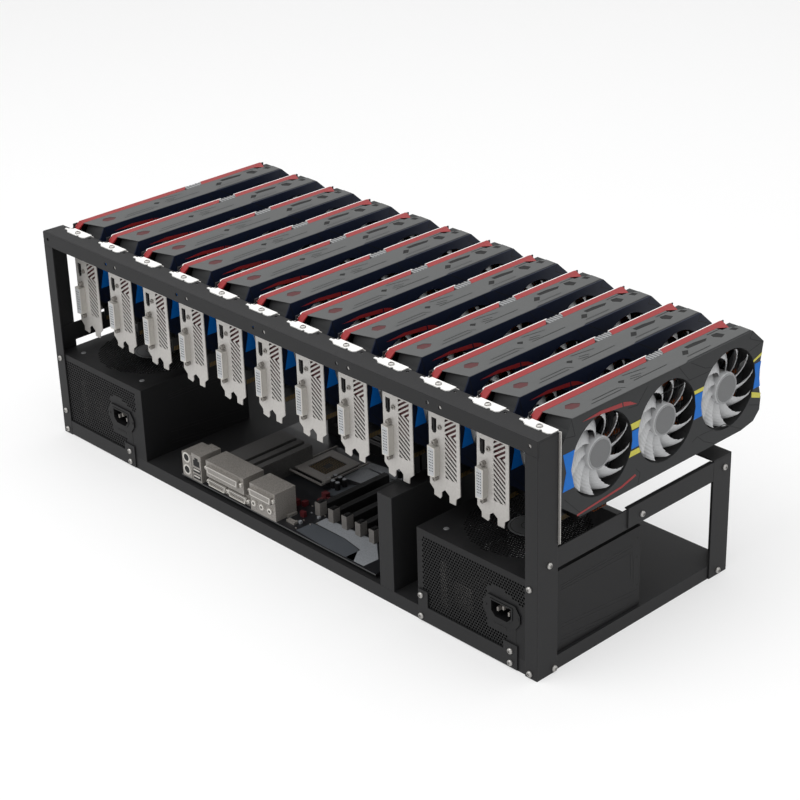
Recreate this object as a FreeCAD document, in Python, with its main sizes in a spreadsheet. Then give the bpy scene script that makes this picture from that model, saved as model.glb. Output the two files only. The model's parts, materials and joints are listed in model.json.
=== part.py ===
# Open-air mining rig: a black steel frame that carries twelve three-fan graphics cards,
# two power supplies and one motherboard.
# X runs along the frame, Y from front to back, Z up. Every size is in millimetres.
# Pieces are drawn from the frame's front left bottom corner and then placed so that the
# origin lies on the floor under the middle of the whole rig.
import FreeCAD, Part
import math
import os
import Sketcher

SIZES = {
    # frame
    "rig_length": 736, "riser_room": 31.1, "rear_rail_gap": 17, "cover_chin": 5.5,
    "sheet_gauge": 1.5, "post_width": 15, "post_depth": 27, "rear_post_width": 22,
    "front_lip": 15.5, "rear_lip": 18, "tray_height": 15, "tray_lip": 9,
    "side_rail_height": 21, "side_rail_lip": 5, "side_rail_drop": 3,
    "inner_rail_end": 155, "outer_rail_start": 123, "rail_tab_length": 36,
    "divider_gap": 33.7, "divider_width": 19.5, "divider_height": 103, "divider_depth": 145,
    # screws
    "screw_radius": 3.4, "screw_head": 2.2,
    # power supplies
    "supply_width": 150, "supply_depth": 146, "supply_height": 86, "supply_gauge": 1,
    "supply_side_gap": 4.8, "supply_fan_radius": 56, "supply_hub_radius": 20,
    "supply_fan_depth": 18, "supply_fan_blades": 7, "supply_fan_gap": 1.5,
    "supply_root_chord": 15, "supply_tip_chord": 28, "fan_frame_size": 120,
    "fan_frame_depth": 25, "guard_hub_radius": 17.5,
    "guard_ring_radius": 58, "guard_spokes": 8, "guard_spoke_width": 3,
    "inlet_offset": 110.5, "inlet_height": 41, "inlet_width": 46, "inlet_face_height": 25,
    "inlet_body_width": 30, "inlet_body_height": 20, "inlet_body_depth": 17,
    "inlet_flange": 2, "inlet_cavity_width": 24.6, "inlet_cavity_height": 15.6,
    "inlet_cavity_depth": 15, "pin_width": 2, "pin_height": 4, "pin_length": 10,
    "pin_pitch": 7,
    "plate_strip": 18, "plate_low_ear": 27, "plate_high_ear": 35, "plate_high_ear_width": 13,
    "plate_low_ear_start": 112.5, "plate_end_room": 20, "plate_floor_gap": 1,
    # motherboard
    "board_gap": 57.2, "board_front": 5.5, "board_rear_room": 25.5, "board_width": 305, "board_depth": 244,
    "board_gauge": 1.6, "standoff_height": 4, "standoff_size": 8, "port_height": 31.8,
    "port_depth": 28, "slot_count": 6, "slot_pitch": 20.32, "slot_start": 173,
    "slot_width": 7.4, "slot_length": 89, "slot_height": 11.2, "latch_height": 15,
    "latch_length": 9, "slot_front": 39, "memory_count": 4, "memory_pitch": 9.6,
    "memory_length": 140, "memory_left": 44, "memory_front": 172, "memory_height": 12,
    "memory_latch_height": 20, "memory_width": 6.6,
    # graphics cards, measured from the left face of each backplate
    "card_count": 12, "first_card": 15, "last_card_room": 39, "card_rise": 5.5,
    "card_rear": 318, "card_drop": 96.5, "cover_gauge": 1.5, "cover_back": 10,
    "cover_face": 38, "fan_count": 3, "fan_first": 85.5, "fan_pitch": 90.4, "fan_drop": 50,
    "fan_radius": 40.2, "fan_clearance": 1.8, "hub_radius": 16, "hub_depth": 14,
    "fan_recess": 2, "blade_count": 11, "blade_root_chord": 8, "blade_tip_chord": 21,
    "blade_thickness": 1.4, "blade_pitch": 36, "opening_sides": 14, "seat_length": 26,
    "seat_width": 12, "seat_gap": 0.7,
    "sink_front": 52, "sink_back": 304, "sink_depth": 15.5, "sink_height": 86,
    "pcb_left": 2, "pcb_gauge": 1.6, "pcb_length": 268, "pcb_height": 106, "pcb_top": 4.4,
    "finger_start": 58, "finger_length": 85, "finger_height": 8,
    "backplate_gauge": 1.2, "backplate_flange": 9.7, "backplate_height": 96,
    "flange_front": 37.5, "flange_split": 193, "flange_restart": 201, "flange_end": 303,
    "bracket_gauge": 1, "bracket_gap": 0.3, "bracket_left": 1, "bracket_width": 40,
    "bracket_height": 122, "tab_left": -2, "tab_width": 39.5, "tab_reach": 11.4,
    "port_proud": 7, "vent_left": 21.5, "vent_width": 15, "vent_slot": 5, "vent_pitch": 8.3,
}
# sizes that follow from others: the frame is as high and deep as what it holds needs
TIES = {
    "front_height": "tray_height + supply_height + riser_room + finger_height + pcb_height"
                    " + pcb_top - card_rise",
    "rear_height": "front_height + card_rise - card_drop - cover_chin - rear_rail_gap",
    "rig_depth": "board_front + board_depth + board_rear_room",
    "plate_length": "supply_width - plate_end_room",
}
COLUMNS = "ABCDEFGHIJ"
FAN_PLACES = ("front", "middle", "rear")
SUPPLY_SIDES = ("left", "right")


def make_sheet(document):
    """One cell for each driving size, named by its alias."""
    sheet = document.addObject("Spreadsheet::Sheet", "sizes")
    formulas = {alias: f"={formula}" for alias, formula in TIES.items()}
    for number, (alias, content) in enumerate({**SIZES, **formulas}.items()):
        cell = f"{COLUMNS[number % len(COLUMNS)]}{number // len(COLUMNS) + 1}"
        sheet.set(cell, str(content))
        sheet.setAlias(cell, alias)
    document.recompute()
    return sheet


doc = FreeCAD.newDocument("mining_rig")
sizes = make_sheet(doc)
subparts = []


def words(formula):
    """Puts the sheet's name before each alias of a formula."""
    text, name = "", ""
    for letter in str(formula) + " ":
        if letter.isalpha() or letter == "_":
            name += letter
            continue
        text += f"sizes.{name}" if name in SIZES or name in TIES else name
        name = ""
        text += letter
    return text.strip()


def value(formula):
    """The number that a formula of sheet aliases gives now."""
    return float(sizes.evalExpression(words(formula)))


def bind(item, **formulas):
    """Ties properties to formulas; a double underscore stands for a dot."""
    for name, formula in formulas.items():
        item.setExpression(name.replace("__", "."), words(formula))


# The rig's own origin, seen from the frame's corner.
MIDDLE_X = "rig_length / 2"
MIDDLE_Y = "(card_rear - screw_head) / 2"
# Heights and places that several pieces share.
TRAY_TOP = "tray_height"
BOARD_BOTTOM = "tray_height + standoff_height"
BOARD_TOP = "tray_height + standoff_height + board_gauge"
CARD_TOP = "front_height + card_rise"
FAN_HEIGHT = "front_height + card_rise - fan_drop"
BRACKET_FACE = "post_depth + bracket_gap"
SUPPLY_TOP = "tray_height + supply_height"
SUPPLY_LEFT = {"left": "supply_side_gap", "right": "rig_length - supply_side_gap - supply_width"}
DIVIDER_LEFT = f"{SUPPLY_LEFT['right']} - divider_gap - divider_width"
BOARD_LEFT = "supply_side_gap + supply_width + board_gap"
CARD_PITCH = "(rig_length - first_card - last_card_room) / (card_count - 1)"


def place(item, label, x="0", y="0", z="0"):
    """Labels a finished sub-part and moves it from the corner to the rig's origin."""
    item.Label = label
    bind(item, Placement__Base__x=f"{x} - {MIDDLE_X}", Placement__Base__y=f"{y} - {MIDDLE_Y}",
         Placement__Base__z=z)
    subparts.append(item)


def box(name, low, size):
    """A block from its low corner and its three sizes."""
    block = doc.addObject("Part::Box", name)
    bind(block, Length=size[0], Width=size[1], Height=size[2], Placement__Base__x=low[0],
         Placement__Base__y=low[1], Placement__Base__z=low[2])
    return block


def cut(name, base, tool):
    """The base less the tool."""
    result = doc.addObject("Part::Cut", name)
    result.Base = base
    result.Tool = tool
    return result


def group(name, items):
    """Several separate solids as one shape."""
    result = doc.addObject("Part::Compound", name)
    result.Links = items
    return result


def origin_item(body, role):
    """One of a body's own origin planes or axes."""
    return [item for item in body.Origin.OriginFeatures if item.Role == role][0]


def outline(body, name, plane, loops, offset="0", turn=None):
    """A sketch of closed loops whose corners are tied to the sheet."""
    sketch = body.newObject("Sketcher::SketchObject", name)
    sketch.AttachmentSupport = [(origin_item(body, plane), "")]
    sketch.MapMode = "FlatFace"
    if turn:
        sketch.AttachmentOffset = FreeCAD.Placement(FreeCAD.Vector(), turn)
    bind(sketch, AttachmentOffset__Base__z=offset)
    for loop in loops:
        first = sketch.GeometryCount
        count = len(loop)
        spots = [FreeCAD.Vector(value(x), value(y), 0) for x, y in loop]
        for step in range(count):
            sketch.addGeometry(Part.LineSegment(spots[step], spots[(step + 1) % count]))
        for step, (x, y) in enumerate(loop):
            line = first + step
            sketch.addConstraint(Sketcher.Constraint("Coincident", line, 2,
                                                     first + (step + 1) % count, 1))
            for kind, formula, now in (("DistanceX", x, spots[step].x),
                                       ("DistanceY", y, spots[step].y)):
                number = sketch.addConstraint(
                    Sketcher.Constraint(kind, -1, 1, line, 1, now))
                sketch.setExpression(f"Constraints[{number}]", words(formula))
    return sketch


def pad(body, name, sketch, length, back=False):
    """Adds the sketch's area over a length; back turns the direction round."""
    feature = body.newObject("PartDesign::Pad", name)
    feature.Profile = sketch
    feature.Reversed = back
    bind(feature, Length=length)
    return feature


def pocket(body, name, sketch, length, back=False):
    """Takes the sketch's area away over a length."""
    feature = body.newObject("PartDesign::Pocket", name)
    feature.Profile = sketch
    feature.Reversed = back
    bind(feature, Length=length)
    return feature


def row_of(body, name, count, pitch):
    """Repeats the whole body along X."""
    doc.recompute()
    feature = body.newObject("PartDesign::LinearPattern", name)
    feature.TransformMode = "Whole shape"
    feature.Direction = (origin_item(body, "X_Axis"), [""])
    bind(feature, Length=f"{pitch} * ({count} - 1)", Occurrences=count)
    body.Tip = feature


def new_body(name):
    return doc.addObject("PartDesign::Body", name)


def polygon(sides, radius, x="0", y="0", turn=0.0):
    """The corners of a regular polygon, as formulas."""
    corners = []
    for step in range(sides):
        angle = 360.0 * step / sides + turn
        corners.append((f"{x} + ({radius}) * {math.cos(math.radians(angle)):.9f}",
                        f"{y} + ({radius}) * {math.sin(math.radians(angle)):.9f}"))
    return corners


def rectangle(x_low, x_high, y_low, y_high):
    return [(x_low, y_low), (x_high, y_low), (x_high, y_high), (x_low, y_high)]


def mirrored(loop):
    """The same loop seen from the frame's other end."""
    return [(f"rig_length - ({x})", y) for x, y in reversed(loop)]


def base_tray():
    """A pan folded down on four sides, with a lip turned in under each side."""
    length = "rig_length - 2 * sheet_gauge"
    depth = "rig_depth - 2 * sheet_gauge"
    shell = box("tray_shell", ("sheet_gauge", "sheet_gauge", "0"), (length, depth, "tray_height"))
    hollow = box("tray_hollow", ("2 * sheet_gauge", "2 * sheet_gauge", "sheet_gauge"),
                 (f"{length} - 2 * sheet_gauge", f"{depth} - 2 * sheet_gauge",
                  "tray_height - 2 * sheet_gauge"))
    window = box("tray_window", ("sheet_gauge + tray_lip", "sheet_gauge + tray_lip", "0"),
                 (f"{length} - 2 * tray_lip", f"{depth} - 2 * tray_lip", "sheet_gauge"))
    pan = cut("tray_pan", cut("tray_folds", shell, hollow), window)
    pads = []
    for column in (0.03, 0.5, 0.93):
        for line in (0.05, 0.93):
            low = (f"{BOARD_LEFT} + board_width * {column}", f"board_front + board_depth * {line}",
                   TRAY_TOP)
            pads.append(box("standoff", low, ("standoff_size", "standoff_size",
                                              "standoff_height")))
    tray = doc.addObject("Part::MultiFuse", "base_tray")
    tray.Shapes = [pan] + pads
    place(tray, "base_tray")


def corner_posts():
    """Two tall front posts and two low rear ones, each a folded angle notched for a rail."""
    near = "rig_depth - post_depth"
    front = [("0", "0"), ("post_width", "0"), ("post_width", "sheet_gauge"),
             ("sheet_gauge", "sheet_gauge"), ("sheet_gauge", "post_depth"), ("0", "post_depth")]
    rear = [("0", near), ("sheet_gauge", near), ("sheet_gauge", "rig_depth - sheet_gauge"),
            ("rear_post_width", "rig_depth - sheet_gauge"), ("rear_post_width", "rig_depth"),
            ("0", "rig_depth")]
    body = new_body("corner_posts")
    for spot, angle, height in (("front", front, "front_height"), ("rear", rear, "rear_height")):
        lines = outline(body, f"{spot}_angle_lines", "XY_Plane", [angle, mirrored(angle)])
        pad(body, f"{spot}_angles", lines, f"{height} - sheet_gauge")
    for spot, low, height, lip in (("front", "0", "front_height", "front_lip"),
                                   ("rear", "rig_depth - sheet_gauge", "rear_height", "rear_lip")):
        notch = rectangle("0", "rig_length", low, f"{low} + sheet_gauge")
        lines = outline(body, f"{spot}_notch_lines", "XY_Plane", [notch], f"{height} - {lip}")
        pocket(body, f"{spot}_notches", lines, lip, back=True)
    place(body, "corner_posts")


def front_top_rail():
    """The folded angle that the cards' brackets are screwed to."""
    fold = [("0", "front_height - front_lip"), ("sheet_gauge", "front_height - front_lip"),
            ("sheet_gauge", "front_height - sheet_gauge"),
            ("post_depth", "front_height - sheet_gauge"), ("post_depth", "front_height"),
            ("0", "front_height")]
    body = new_body("front_top_rail")
    pad(body, "front_rail_fold", outline(body, "front_rail_lines", "YZ_Plane", [fold]),
        "rig_length")
    place(body, "front_top_rail")


def rear_top_rail():
    """The folded angle under the cards' far ends."""
    near = "rig_depth - post_depth"
    inside = "rig_depth - sheet_gauge"
    fold = [(near, "rear_height - sheet_gauge"), (inside, "rear_height - sheet_gauge"),
            (inside, "rear_height - rear_lip"), ("rig_depth", "rear_height - rear_lip"),
            ("rig_depth", "rear_height"), (near, "rear_height")]
    body = new_body("rear_top_rail")
    pad(body, "rear_rail_fold", outline(body, "rear_rail_lines", "YZ_Plane", [fold]),
        "rig_length")
    place(body, "rear_top_rail")


def side_rails():
    """At each end a flat inner rail from the front post and a lipped outer one to the rear."""
    top = "rear_height - sheet_gauge"
    low = f"{top} - side_rail_height"
    flat = rectangle("sheet_gauge", "2 * sheet_gauge", f"{low} - side_rail_drop / 2",
                     f"{top} - sheet_gauge")
    lipped = [("0", low), ("sheet_gauge", low), ("sheet_gauge", f"{top} - sheet_gauge"),
              ("side_rail_lip", f"{top} - sheet_gauge"), ("side_rail_lip", top), ("0", top)]
    tab = rectangle("sheet_gauge", "2 * sheet_gauge", low, f"{top} - sheet_gauge")
    body = new_body("side_rails")
    pad(body, "inner_rails", outline(body, "inner_rail_lines", "XZ_Plane",
                                     [flat, mirrored(flat)], "-sheet_gauge"),
        "inner_rail_end - sheet_gauge", back=True)
    pad(body, "outer_rails", outline(body, "outer_rail_lines", "XZ_Plane",
                                     [lipped, mirrored(lipped)], "-outer_rail_start"),
        "rig_depth - post_depth - outer_rail_start", back=True)
    pad(body, "rail_tabs", outline(body, "rail_tab_lines", "XZ_Plane", [tab, mirrored(tab)],
                                   "-(rig_depth - sheet_gauge - rail_tab_length)"),
        "rail_tab_length", back=True)
    place(body, "side_rails")


def divider():
    """A folded plate with front, top and bottom flanges beside the right power supply."""
    shell = box("divider_shell", (DIVIDER_LEFT, "sheet_gauge", TRAY_TOP),
                ("divider_width", "divider_depth", "divider_height"))
    hollow = box("divider_hollow", (DIVIDER_LEFT, "2 * sheet_gauge", "tray_height + sheet_gauge"),
                 ("divider_width - sheet_gauge", "divider_depth - sheet_gauge",
                  "divider_height - 2 * sheet_gauge"))
    place(cut("divider_plate", shell, hollow), "divider_plate")


def supply_plates():
    """Flat plates with a raised ear at each end that keep the power supplies in."""
    def plate(left, start):
        edge = f"({left}) + "
        lead = [(start, "plate_floor_gap")]
        if start.startswith("("):
            lead += [(start, "plate_high_ear"), (f"{start} + plate_high_ear_width",
                                                 "plate_high_ear"),
                     (f"{start} + plate_high_ear_width", "plate_strip")]
        else:
            lead += [(start, "plate_strip")]
        return lead + [(edge + "plate_low_ear_start", "plate_strip"),
                       (edge + "plate_low_ear_start", "plate_low_ear"),
                       (edge + "plate_length", "plate_low_ear"),
                       (edge + "plate_length", "plate_floor_gap")]
    body = new_body("supply_plates")
    left_plate = plate(SUPPLY_LEFT["left"], "post_width + bracket_gap")
    right_plate = plate(SUPPLY_LEFT["right"], f"({SUPPLY_LEFT['right']} + 1)")
    pad(body, "plates", outline(body, "plate_lines", "XZ_Plane", [left_plate, right_plate]),
        "sheet_gauge", back=True)
    place(body, "supply_retaining_plates")


def supply_cases():
    """The lower halves of the power supplies: floor, front and back folded from one sheet."""
    back = "sheet_gauge + supply_depth"
    top = "tray_height + supply_height - supply_gauge"
    fold = [("sheet_gauge", TRAY_TOP), (back, TRAY_TOP), (back, top),
            (f"{back} - supply_gauge", top), (f"{back} - supply_gauge", "tray_height + supply_gauge"),
            ("sheet_gauge + supply_gauge", "tray_height + supply_gauge"),
            ("sheet_gauge + supply_gauge", top), ("sheet_gauge", top)]
    body = new_body("supply_cases")
    pad(body, "case_fold", outline(body, "case_lines", "YZ_Plane", [fold],
                                   "supply_side_gap + supply_gauge"),
        "supply_width - 2 * supply_gauge")
    middle = "supply_side_gap + inlet_offset"
    height = "tray_height + inlet_height"
    hole = rectangle(f"{middle} - inlet_body_width / 2 - 0.2", f"{middle} + inlet_body_width / 2 + 0.2",
                     f"{height} - inlet_body_height / 2 - 0.2", f"{height} + inlet_body_height / 2 + 0.2")
    pocket(body, "inlet_hole", outline(body, "inlet_hole_lines", "XZ_Plane", [hole],
                                       "-sheet_gauge"), "supply_gauge")
    row_of(body, "both_cases", "2", "(rig_length - 2 * supply_side_gap - supply_width)")
    place(body, "supply_cases")


def supply_covers():
    """The upper halves: top and sides, with a stamped fan guard in the top."""
    inner = "supply_side_gap + supply_gauge"
    outer = "supply_side_gap + supply_width"
    below = "tray_height + supply_height - supply_gauge"
    fold = [("supply_side_gap", TRAY_TOP), (inner, TRAY_TOP), (inner, below),
            (f"{outer} - supply_gauge", below), (f"{outer} - supply_gauge", TRAY_TOP),
            (outer, TRAY_TOP), (outer, SUPPLY_TOP), ("supply_side_gap", SUPPLY_TOP)]
    body = new_body("supply_covers")
    pad(body, "cover_fold", outline(body, "cover_lines", "XZ_Plane", [fold], "-sheet_gauge"),
        "supply_depth", back=True)
    gaps = []
    count = int(value("guard_spokes"))
    half = 180.0 / count
    for step in range(count):
        middle = math.radians(2 * half * step + half)
        corners = []
        for radius, side in (("guard_hub_radius", -1), ("guard_ring_radius", -1),
                             ("guard_ring_radius", 1), ("guard_hub_radius", 1)):
            reach = f"{radius} * {math.cos(math.radians(half)):.9f}"
            across = f"{side} * ({radius} * {math.sin(math.radians(half)):.9f} - guard_spoke_width / 2)"
            corners.append((f"{SUPPLY_FAN_X['left']} + ({reach}) * {math.cos(middle):.9f}"
                            f" - ({across}) * {math.sin(middle):.9f}",
                            f"{SUPPLY_FAN_Y} + ({reach}) * {math.sin(middle):.9f}"
                            f" + ({across}) * {math.cos(middle):.9f}"))
        gaps.append(corners)
    pocket(body, "guard_gaps", outline(body, "guard_lines", "XY_Plane", gaps, SUPPLY_TOP),
           "supply_gauge")
    row_of(body, "both_covers", "2", "(rig_length - 2 * supply_side_gap - supply_width)")
    place(body, "supply_covers")


SUPPLY_FAN_Y = "sheet_gauge + supply_depth / 2"
SUPPLY_FAN_X = {side: f"{left} + supply_width / 2" for side, left in SUPPLY_LEFT.items()}


def supply_fan_frames():
    """The square frame under each guard, with arms that carry the fan's motor."""
    half = "fan_frame_size / 2"
    x, y = SUPPLY_FAN_X["left"], SUPPLY_FAN_Y
    top = f"{SUPPLY_TOP} - supply_gauge"
    body = new_body("supply_fan_frames")
    square = rectangle(f"{x} - {half}", f"{x} + {half}", f"{y} - {half}", f"{y} + {half}")
    bore = polygon(16, "supply_fan_radius + fan_clearance", x, y, 11.25)
    pad(body, "frame_ring", outline(body, "frame_ring_lines", "XY_Plane", [square, bore], top),
        "fan_frame_depth", back=True)
    bottom = f"{top} - fan_frame_depth"
    seat = polygon(16, "supply_hub_radius", x, y, 11.25)
    pad(body, "frame_seat", outline(body, "frame_seat_lines", "XY_Plane", [seat], bottom),
        "fan_frame_depth - supply_fan_gap - supply_fan_depth - seat_gap")
    arm = [rectangle(f"{x} - {half} + 1", f"{x} + {half} - 1", f"{y} - 4", f"{y} + 4")]
    pad(body, "frame_arms", outline(body, "frame_arm_lines", "XY_Plane", arm, bottom), "3")
    row_of(body, "both_frames", "2", "(rig_length - 2 * supply_side_gap - supply_width)")
    place(body, "supply_fan_frames")


def supply_inlets():
    """Mains inlets: a flanged housing with a keyed cavity and three flat pins."""
    middle = "supply_side_gap + inlet_offset"
    height = "tray_height + inlet_height"
    body = new_body("supply_inlets")
    flange = rectangle(f"{middle} - inlet_width / 2", f"{middle} + inlet_width / 2",
                       f"{height} - inlet_face_height / 2", f"{height} + inlet_face_height / 2")
    pad(body, "inlet_flange_plate", outline(body, "inlet_flange_lines", "XZ_Plane", [flange],
                                            "-sheet_gauge"), "inlet_flange")
    housing = rectangle(f"{middle} - inlet_body_width / 2", f"{middle} + inlet_body_width / 2",
                        f"{height} - inlet_body_height / 2", f"{height} + inlet_body_height / 2")
    pad(body, "inlet_housing", outline(body, "inlet_housing_lines", "XZ_Plane", [housing],
                                       "-sheet_gauge"), "inlet_body_depth", back=True)
    left = f"{middle} - inlet_cavity_width / 2"
    right = f"{middle} + inlet_cavity_width / 2"
    low = f"{height} - inlet_cavity_height / 2"
    high = f"{height} + inlet_cavity_height / 2"
    keyed = [(f"{left} + 5", low), (f"{right} - 5", low), (right, f"{low} + 5"), (right, high),
             (left, high), (left, f"{low} + 5")]
    pocket(body, "inlet_cavity", outline(body, "inlet_cavity_lines", "XZ_Plane", [keyed],
                                         "-sheet_gauge + inlet_flange"), "inlet_cavity_depth",
           back=False)
    pins = []
    for across, rise in ((-1, -1), (0, 1.5), (1, -1)):
        x = f"{middle} + {across} * pin_pitch"
        z = f"{height} + {rise}"
        pins.append(rectangle(f"{x} - pin_width / 2", f"{x} + pin_width / 2",
                              f"{z} - pin_height / 2", f"{z} + pin_height / 2"))
    bottom = "sheet_gauge - inlet_flange + inlet_cavity_depth"
    pad(body, "inlet_pins", outline(body, "pin_lines", "XZ_Plane", pins, f"-({bottom})"),
        "pin_length")
    row_of(body, "both_inlets", "2", "(rig_length - 2 * supply_side_gap - supply_width)")
    place(body, "supply_inlets")


def motherboard():
    """The bare circuit board on its standoffs."""
    place(box("board_sheet", ("0", "0", "0"), ("board_width", "board_depth", "board_gauge")),
          "motherboard", BOARD_LEFT, "board_front", BOARD_BOTTOM)


def board_ports():
    """The connector blocks along the board's front edge."""
    blocks = (
        # left, width, bottom, height, proud of the board's edge
        ("keyboard_ports", "3", "15.5", "0", "28", "0"),
        ("network_port", "19.5", "15.5", "0", "port_height", "0"),
        ("parallel_port", "44", "62", "12.5", "port_height - 12.5", "0"),
        ("parallel_shell", "49", "51", "20", "8", "4"),
        ("serial_block", "44", "67", "0", "12.5", "-3"),
        ("display_shell", "45", "30", "2.5", "7.5", "2"),
        ("serial_shell", "79", "30", "2.5", "7.5", "2"),
        ("video_audio_block", "116", "40", "0", "port_height", "0"),
        ("video_shell", "119", "34", "20", "8", "4"),
    )
    solids = []
    for name, left, width, bottom, height, proud in blocks:
        shell = name.endswith("shell")
        depth = proud if shell else "port_depth"
        front = f"board_front - ({proud})"
        if name == "display_shell" or name == "serial_shell":
            front = "board_front + 3 - 2"
        solids.append(box(name, (f"{BOARD_LEFT} + {left}", front, f"{BOARD_TOP} + {bottom}"),
                          (width, depth, height)))
    place(group("board_ports", solids), "board_io_ports")


def board_slots():
    """Processor socket, expansion slots along Y and memory sockets along X."""
    solids = [box("processor_socket", (f"{BOARD_LEFT} + 91", "board_front + 86", BOARD_TOP),
                  ("42", "50", "6"))]
    for number in range(int(value("slot_count"))):
        left = f"{BOARD_LEFT} + slot_start + {number} * slot_pitch"
        solids.append(box("slot", (left, "board_front + slot_front + latch_length", BOARD_TOP),
                          ("slot_width", "slot_length", "slot_height")))
        solids.append(box("slot_latch", (left, "board_front + slot_front", BOARD_TOP),
                          ("slot_width", "latch_length", "latch_height")))
    for number in range(int(value("memory_count"))):
        front = f"board_front + memory_front + {number} * memory_pitch"
        left = f"{BOARD_LEFT} + memory_left"
        ends = rectangle("0", "memory_length", "0", "memory_latch_height")
        body = new_body("memory_socket")
        trough = [ends[0], ends[1], ends[2], ("memory_length - 6", "memory_latch_height"),
                  ("memory_length - 6", "memory_height"), ("6", "memory_height"),
                  ("6", "memory_latch_height"), ends[3]]
        pad(body, "memory_trough", outline(body, "memory_lines", "XZ_Plane", [trough]),
            "memory_width", back=True)
        bind(body, Placement__Base__x=left, Placement__Base__y=front,
             Placement__Base__z=BOARD_TOP)
        solids.append(body)
    place(group("board_slots", solids), "board_sockets")


def board_heatsink():
    """A finned slab behind the port blocks."""
    body = new_body("board_heatsink")
    fins = [("0", "0"), ("52", "0"), ("52", "24"), ("44", "24"), ("44", "18"), ("39", "18"),
            ("39", "24"), ("31", "24"), ("31", "18"), ("26", "18"), ("26", "24"), ("0", "24")]
    pad(body, "sink_fins", outline(body, "sink_fin_lines", "XZ_Plane", [fins]), "74", back=True)
    place(body, "board_heatsink", f"{BOARD_LEFT} + 37", "board_front + 36", BOARD_TOP)


def card_line(kind):
    """A card part is drawn from its backplate's left face; this is that face's place."""
    return f"first_card + {kind}"


def card_covers():
    """The moulded fan covers: a shallow shell with three round openings and top slots."""
    top = CARD_TOP
    low = f"{CARD_TOP} - card_drop - cover_chin"
    side = [
        ("31", f"{low} + 19.5"), ("57", low), ("289", low), ("308", f"{low} + 3.5"),
        ("317", f"{low} + 12.5"), ("card_rear", f"{low} + 25.5"), ("314.5", f"{low} + 38.5"),
        ("314.5", f"{top} - 36.5"), ("card_rear", f"{top} - 16.5"), ("300", top), ("45", top),
        ("40", f"{top} - 9.5"), ("31", f"{top} - 22.5"),
    ]
    body = new_body("card_covers")
    shell = pad(body, "cover_block", outline(body, "cover_block_lines", "YZ_Plane", [side],
                                             card_line("cover_back")), "cover_face - cover_back")
    doc.recompute()
    left = min(range(len(shell.Shape.Faces)),
               key=lambda face: shell.Shape.Faces[face].CenterOfMass.x)
    walls = body.newObject("PartDesign::Thickness", "cover_walls")
    walls.Base = (shell, [f"Face{left + 1}"])
    walls.Join = 1
    walls.Reversed = True
    bind(walls, Value="cover_gauge")
    sides = int(value("opening_sides"))
    rings = [polygon(sides, "fan_radius + fan_clearance", f"fan_first + {number} * fan_pitch",
                     FAN_HEIGHT, 180.0 / sides) for number in range(int(value("fan_count")))]
    pocket(body, "fan_openings", outline(body, "fan_opening_lines", "YZ_Plane", rings,
                                         card_line("cover_face")), "2 * cover_gauge")
    slots = [rectangle("first_card + 26", "first_card + 29.5", "236", "266")]
    pocket(body, "top_slots", outline(body, "top_slot_lines", "XY_Plane", slots, top),
           "2 * cover_gauge")
    row_of(body, "all_covers", "card_count", CARD_PITCH)
    place(body, "card_fan_covers")


def card_backplates():
    """Thin back sheets with a flange folded over the top in two lengths."""
    top = CARD_TOP
    low = f"{top} - backplate_height"
    body = new_body("card_backplates")
    sheet = [("bracket_gap + post_depth + 2.7", low), ("flange_end", low), ("flange_end", top),
             ("flange_front", top), ("bracket_gap + post_depth + 2.7", f"{top} - 8")]
    pad(body, "back_sheet", outline(body, "back_sheet_lines", "YZ_Plane", [sheet],
                                    "first_card"), "backplate_gauge")
    left = "first_card"
    right = "first_card + backplate_flange"
    flanges = [rectangle(left, right, "flange_front", "flange_split"),
               rectangle(left, right, "flange_restart", "flange_end")]
    pad(body, "top_flanges", outline(body, "top_flange_lines", "XY_Plane", flanges, top),
        "backplate_gauge", back=True)
    row_of(body, "all_backplates", "card_count", CARD_PITCH)
    place(body, "card_backplates")


def card_boards():
    """Circuit boards with an edge connector along the bottom."""
    top = f"{CARD_TOP} - pcb_top"
    low = f"{top} - pcb_height"
    front = "post_depth + bracket_gap + bracket_gauge"
    edge = [(front, low), ("finger_start", low), ("finger_start", f"{low} - finger_height"),
            ("finger_start + finger_length", f"{low} - finger_height"),
            ("finger_start + finger_length", low), (f"{front} + pcb_length", low),
            (f"{front} + pcb_length", top), (front, top)]
    body = new_body("card_boards")
    pad(body, "card_board", outline(body, "card_board_lines", "YZ_Plane", [edge],
                                    card_line("pcb_left")), "pcb_gauge")
    row_of(body, "all_boards", "card_count", CARD_PITCH)
    place(body, "card_circuit_boards")


def card_heatsinks():
    """Fin blocks between board and fans, with a motor seat behind each fan."""
    near = "pcb_left + pcb_gauge"
    far = f"{near} + sink_depth"
    body = new_body("card_heatsinks")
    block = rectangle("sink_front", "sink_back", f"{FAN_HEIGHT} - sink_height / 2",
                      f"{FAN_HEIGHT} + sink_height / 2")
    pad(body, "fin_block", outline(body, "fin_block_lines", "YZ_Plane", [block],
                                   card_line(near)), "sink_depth")
    bars = [rectangle(f"fan_first + {number} * fan_pitch - seat_length / 2",
                      f"fan_first + {number} * fan_pitch + seat_length / 2",
                      f"{FAN_HEIGHT} - seat_width / 2", f"{FAN_HEIGHT} + seat_width / 2")
            for number in range(int(value("fan_count")))]
    seats = outline(body, "motor_seat_lines", "YZ_Plane", bars, card_line(far))
    pad(body, "motor_seats", seats, f"cover_face - fan_recess - hub_depth - seat_gap - ({far})")
    row_of(body, "all_heatsinks", "card_count", CARD_PITCH)
    place(body, "card_heatsinks")


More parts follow.
